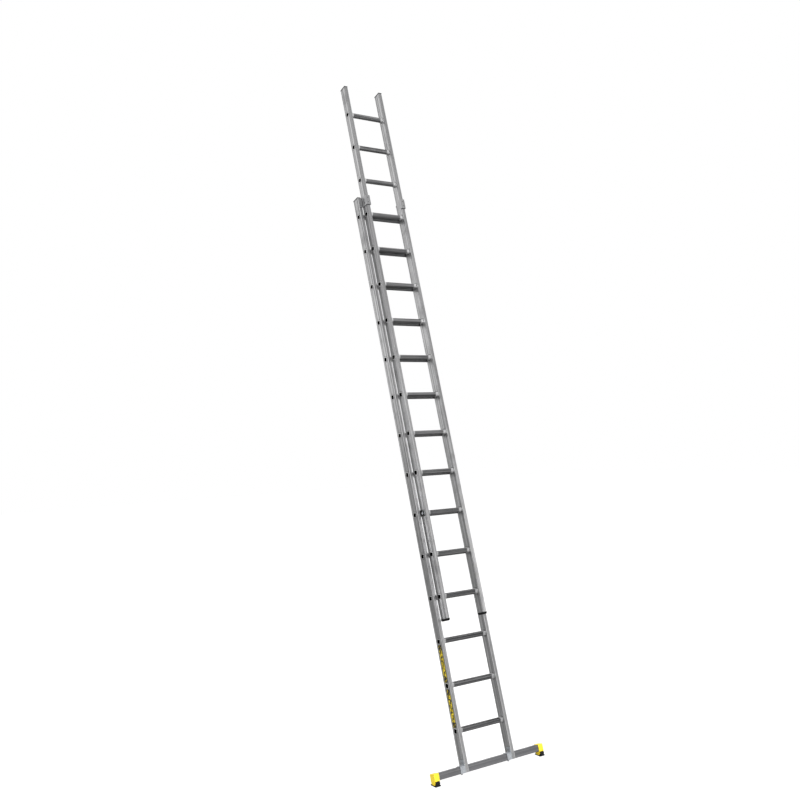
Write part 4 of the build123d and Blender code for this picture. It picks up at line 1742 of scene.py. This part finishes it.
@dataclass(frozen=True)
class Hooks:
    """The pivoting hooks and the pins they turn on.

    Attributes:
        edge: rounding of a hook's edges.
        pin_edge: rounding of a pin's edges.
    """

    edge: float = 0.9 * MM
    pin_edge: float = 0.5 * MM

    def build(self, plastic: Material, plated: Material) -> None:
        """Adds both hooks and both pins.

        Args:
            plastic: the hooks' finish.
            plated: the pins' finish.
        """
        for hand, body in ((Hand.LEFT, Body.LEFT_HOOK), (Hand.RIGHT, Body.RIGHT_HOOK)):
            add_remade(f"{hand.word}_hook", "moulding", self.edge, plastic, Slot.HOOKS, body)
            add_remade(f"{hand.word}_hook_pin", "turning", self.pin_edge, plated, Slot.PLATED, Body.FLY)


@dataclass(frozen=True)
class StabiliserBar:
    """The bar across the foot, its brackets, its moulded ends and their rubber soles.

    Attributes:
        tube_edge: rounding of the bar's edges.
        bracket_edge: rounding of a bracket's edges.
        moulding_edge: rounding of a bar end's edges.
        sole_edge: rounding of a sole's edges.
    """

    tube_edge: float = 0.4 * MM
    bracket_edge: float = 0.5 * MM
    moulding_edge: float = 1.3 * MM
    sole_edge: float = 2.2 * MM

    def build(self, finishes: "Finishes") -> None:
        """Adds the bar and everything fixed to it.

        Args:
            finishes: the palette.
        """
        base = Body.BASE
        add_remade("stabiliser_bar", "tube", self.tube_edge, finishes.bar, Slot.BAR, base)
        for hand in Hand:
            bracket, end, sole = (f"{hand.word}_{part}" for part in ("bar_bracket", "bar_end", "sole"))
            add_remade(bracket, "pressing", self.bracket_edge, finishes.plated, Slot.PLATED, base)
            add_remade(end, "moulding", self.moulding_edge, finishes.yellow, Slot.BAR_ENDS, base, 3)
            add_remade(sole, "moulding", self.sole_edge, finishes.rubber, Slot.SOLES, base, 3)


@dataclass(frozen=True)
class Stickers:
    """The two stickers low on the base section's left stile.

    Attributes:
        leaning: the ladder's leaning frame.
        ink: the dark ink.
        ground: the bright ground.
    """

    leaning: LeaningFrame
    ink: Colour = (0.012, 0.012, 0.012)
    ground: Colour = (0.92, 0.70, 0.02)

    def build(self) -> None:
        """Dresses the CAD stickers, which stay as they are."""
        for node in ("upper_label", "lower_label"):
            box = self.leaning.box(node)
            film = HazardFilm(f"{node}_print", self.ink, self.ground, box.centre.z, box.size.z / 2)
            slots = frame["nodes"][node].data.materials
            slots.clear()
            slots.append(film.build(self.leaning))
            LOG.info("%s: printed film", node)


# ---- palette and studio --------------------------------------------------------------------
class Finishes:
    """Every material that more than one piece wears."""

    def __init__(self, leaning: LeaningFrame) -> None:
        """Builds the materials.

        Args:
            leaning: the ladder's leaning frame.
        """
        grey = self.grey
        # dark colour for the dirt round rung ends and for the painted shade in hollows
        dirt = (0.06, 0.058, 0.056)
        up, across = {"dirt": dirt, "grain": Grain.UP}, {"dirt": dirt, "grain": Grain.ACROSS}
        self.stiles = {}
        self.rungs = {}
        for section in (BASE, FLY):
            passing = section.row(leaning)
            stile = MillAluminium(
                f"{section.name}_stile_metal", grey(0.80, 0.005), grey(0.31, 0.005), row=passing, **up
            )
            rung = MillAluminium(
                f"{section.name}_rung_metal",
                grey(0.42, 0.005),
                grey(0.10, 0.005),
                roughness=0.4,
                # painted highlight on the swaged ends and painted shade in the bore
                polish=RungSet.inner_reach(section),
                **across,
            )
            self.stiles[section.name] = stile.build(leaning)
            self.rungs[section.name] = rung.build(leaning)
        bar = MillAluminium("bar_metal", grey(0.38, 0.013), grey(0.25, 0.012), roughness=0.42, **across)
        guides = MillAluminium("guide_metal", grey(0.72, 0.005), grey(0.40, 0.01), roughness=0.32, **up)
        plated = PlatedSteel("zinc_plate", (0.74, 0.77, 0.80), (0.50, 0.53, 0.57))
        fastener = PlatedSteel("bright_zinc", (0.66, 0.67, 0.69), (0.42, 0.43, 0.45), 0.3, 900.0)
        black = MouldedPlastic("black_moulding", grey(0.006), grey(0.014), 0.5, shine=0.16)
        hook = MouldedPlastic("hook_nylon", grey(0.008), grey(0.02, 0.001), 0.42, 1100.0, shine=0.25)
        nylon = MouldedPlastic("glide_nylon", grey(0.03, 0.002), grey(0.07, 0.002), 0.5)
        amber, lemon = (0.88, 0.64, 0.02), (0.92, 0.74, 0.09)
        yellow = MouldedPlastic("yellow_moulding", amber, lemon, 0.34, 1300.0, shine=0.6)
        rubber = MouldedRubber("black_rubber", grey(0.012), (0.07, 0.067, 0.063), 14 * MM)
        metals = [finish.build(leaning) for finish in (bar, guides, plated, fastener)]
        self.bar, self.guides, self.plated, self.fastener = metals
        mouldings = [finish.build(leaning) for finish in (black, hook, nylon, yellow, rubber)]
        self.black, self.hook, self.nylon, self.yellow, self.rubber = mouldings

    @staticmethod
    def grey(level: float, cool: float = 0.0) -> Colour:
        """A grey that leans a little towards blue."""
        return (level, level, level + cool)


@dataclass(frozen=True)
class Studio:
    """Plain pale floor, soft light and the camera.

    Attributes:
        place: the camera's place.
        yaw: its turn from the +Y direction towards +X, in degrees.
        pitch: its rise above level, in degrees.
        roll: its turn about its own axis, in degrees.
        lens: focal length in millimetres.
        sensor: width of the sensor in millimetres.
        floor_size: side of the floor.
        floor_tone: grey of the floor that lights the ladder from below.
        floor_glow: what the camera sees the floor give off, so that it looks white.
        backdrop: brightness of the background.
        middle: what the lamps shine at.
    """

    place: tuple[float, float, float] = (-3.6153, -4.7347, 2.1499)
    yaw: float = 32.83
    pitch: float = 2.31
    roll: float = -2.42
    lens: float = 41.1
    sensor: float = 36.0
    floor_size: float = 60.0
    floor_tone: float = 0.23
    floor_glow: float = 0.92
    backdrop: float = 1.0
    middle: tuple[float, float, float] = (0.0, 0.5, 2.3)

    # (sine of the elevation, brightness) of what the metal mirrors, from straight down to straight up
    GLOW = ((-1.0, 0.22), (-0.06, 0.45), (0.05, 0.98), (0.2, 0.92), (0.42, 0.74), (0.72, 0.40), (1.0, 0.32))

    def camera(self) -> None:
        """Sets the scene's camera."""
        data = bpy.data.cameras.new("camera")
        data.lens = self.lens
        data.sensor_width = self.sensor
        camera = scratch_object("camera", data)
        yaw, pitch, roll = (math.radians(angle) for angle in (self.yaw, self.pitch, self.roll))
        turn = Matrix.Rotation(-yaw, 4, "Z") @ Matrix.Rotation(math.pi / 2 + pitch, 4, "X")
        camera.matrix_world = Matrix.Translation(self.place) @ turn @ Matrix.Rotation(roll, 4, "Z")
        bpy.context.scene.camera = camera

    def floor(self) -> None:
        """Adds the floor, which looks as pale as the background behind it."""
        half = self.floor_size / 2
        corners = [(-half, -half), (half, -half), (half, half), (-half, half)]
        mesh = bpy.data.meshes.new("floor")
        mesh.from_pydata([(x, y, 0.0) for x, y in corners], [], [(0, 1, 2, 3)])
        material = bpy.data.materials.new("floor_paint")
        material.use_nodes = True
        tree = material.node_tree
        shader = tree.nodes["Principled BSDF"]
        shader.inputs["Base Color"].default_value = (self.floor_tone,) * 3 + (1.0,)
        shader.inputs["Roughness"].default_value = 0.9
        shader.inputs["Specular IOR Level"].default_value = 0.1
        path = tree.nodes.new("ShaderNodeLightPath")
        glow = tree.nodes.new("ShaderNodeMath")
        glow.operation = "MULTIPLY"
        glow.inputs[1].default_value = self.floor_glow
        tree.links.new(path.outputs["Is Camera Ray"], glow.inputs[0])
        tree.links.new(glow.outputs[0], shader.inputs["Emission Strength"])
        shader.inputs["Emission Color"].default_value = (1.0, 1.0, 1.0, 1.0)
        mesh.materials.append(material)
        scratch_object("floor", mesh)

    def lamp(
        self, name: str, place: Sequence[float], size: float, power: float, mirrored: bool = False
    ) -> None:
        """Adds a soft square lamp that shines at the ladder's middle.

        Args:
            name: the lamp's name.
            place: its place in metres.
            size: its side in metres.
            power: its power in watts.
            mirrored: whether the metal shows its reflection.
        """
        data = bpy.data.lights.new(name, "AREA")
        data.size = size
        data.energy = power
        lamp = scratch_object(name, data)
        aim = Vector(self.middle) - Vector(place)
        lamp.visible_glossy = mirrored
        lamp.matrix_world = Matrix.Translation(place) @ aim.to_track_quat("-Z", "Y").to_matrix().to_4x4()

    def surround(self) -> None:
        """Sets a white background, and dimmer surroundings for the metal to mirror."""
        world = bpy.data.worlds.new("studio")
        bpy.context.scene.world = world
        world.use_nodes = True
        nodes, links = world.node_tree.nodes, world.node_tree.links
        seen = nodes["Background"]
        seen.inputs["Color"].default_value = (1.0, 1.0, 1.0, 1.0)
        seen.inputs["Strength"].default_value = self.backdrop
        coordinates = nodes.new("ShaderNodeTexCoord")
        split = nodes.new("ShaderNodeSeparateXYZ")
        links.new(coordinates.outputs["Generated"], split.inputs[0])
        height = nodes.new("ShaderNodeMapRange")
        height.inputs["From Min"].default_value = -1.0
        links.new(split.outputs["Z"], height.inputs["Value"])
        ramp = nodes.new("ShaderNodeValToRGB")
        ramp.color_ramp.interpolation = "EASE"
        stops = ramp.color_ramp.elements
        for index, (sine, glow) in enumerate(self.GLOW):
            stop = stops[index] if index < 2 else stops.new((sine + 1) / 2)
            stop.position = (sine + 1) / 2
            stop.color = (glow, glow, glow, 1.0)
        links.new(height.outputs["Result"], ramp.inputs["Fac"])
        around = nodes.new("ShaderNodeBackground")
        links.new(ramp.outputs["Color"], around.inputs["Color"])
        path = nodes.new("ShaderNodeLightPath")
        blend = nodes.new("ShaderNodeMixShader")
        links.new(path.outputs["Is Camera Ray"], blend.inputs[0])
        links.new(around.outputs[0], blend.inputs[1])
        links.new(seen.outputs[0], blend.inputs[2])
        links.new(blend.outputs[0], nodes["World Output"].inputs["Surface"])

    def build(self) -> None:
        """Adds everything that isn't the ladder."""
        self.camera()
        self.floor()
        self.surround()
        self.lamp("key", (2.0, -5.5, 6.0), 4.0, 700.0)
        self.lamp("fill", (-6.0, -2.0, 3.5), 4.0, 220.0)
        self.lamp("rim", (4.0, 4.0, 5.0), 3.0, 120.0)
        self.lamp("front", (-5.0, -6.5, 3.2), 5.0, 190.0, mirrored=True)
        bpy.context.scene.view_settings.view_transform = "Standard"
        LOG.info("studio: camera, floor, surround and four lamps")


def main() -> None:
    """Builds the ladder's looks in order, from the studio to the smallest fastener."""
    logging.basicConfig(level=logging.INFO, format="%(name)s: %(message)s")
    Studio().build()
    leaning = LeaningFrame.of_slide(frame["joints"])
    finishes = Finishes(leaning)
    extrusion, row, scatter = extrusion_tree(), row_tree(), scatter_tree()
    for section in (BASE, FLY):
        for hand in Hand:
            Stile(section, hand).build(extrusion, leaning, finishes.stiles[section.name])
        RungSet(section).build(row, finishes.rungs[section.name])
    EndCaps().build(finishes.black)
    GuideBrackets().build(finishes.guides, finishes.nylon)
    Hooks().build(finishes.hook, finishes.plated)
    StabiliserBar().build(finishes)
    fasteners = Fasteners(leaning)
    fasteners.build_rivets(scatter, finishes.fastener)
    fasteners.build_bolts(scatter, finishes.fastener)
    fasteners.build_nuts(scatter, finishes.fastener)
    Stickers(leaning).build()


if __name__ == "__main__":
    main()
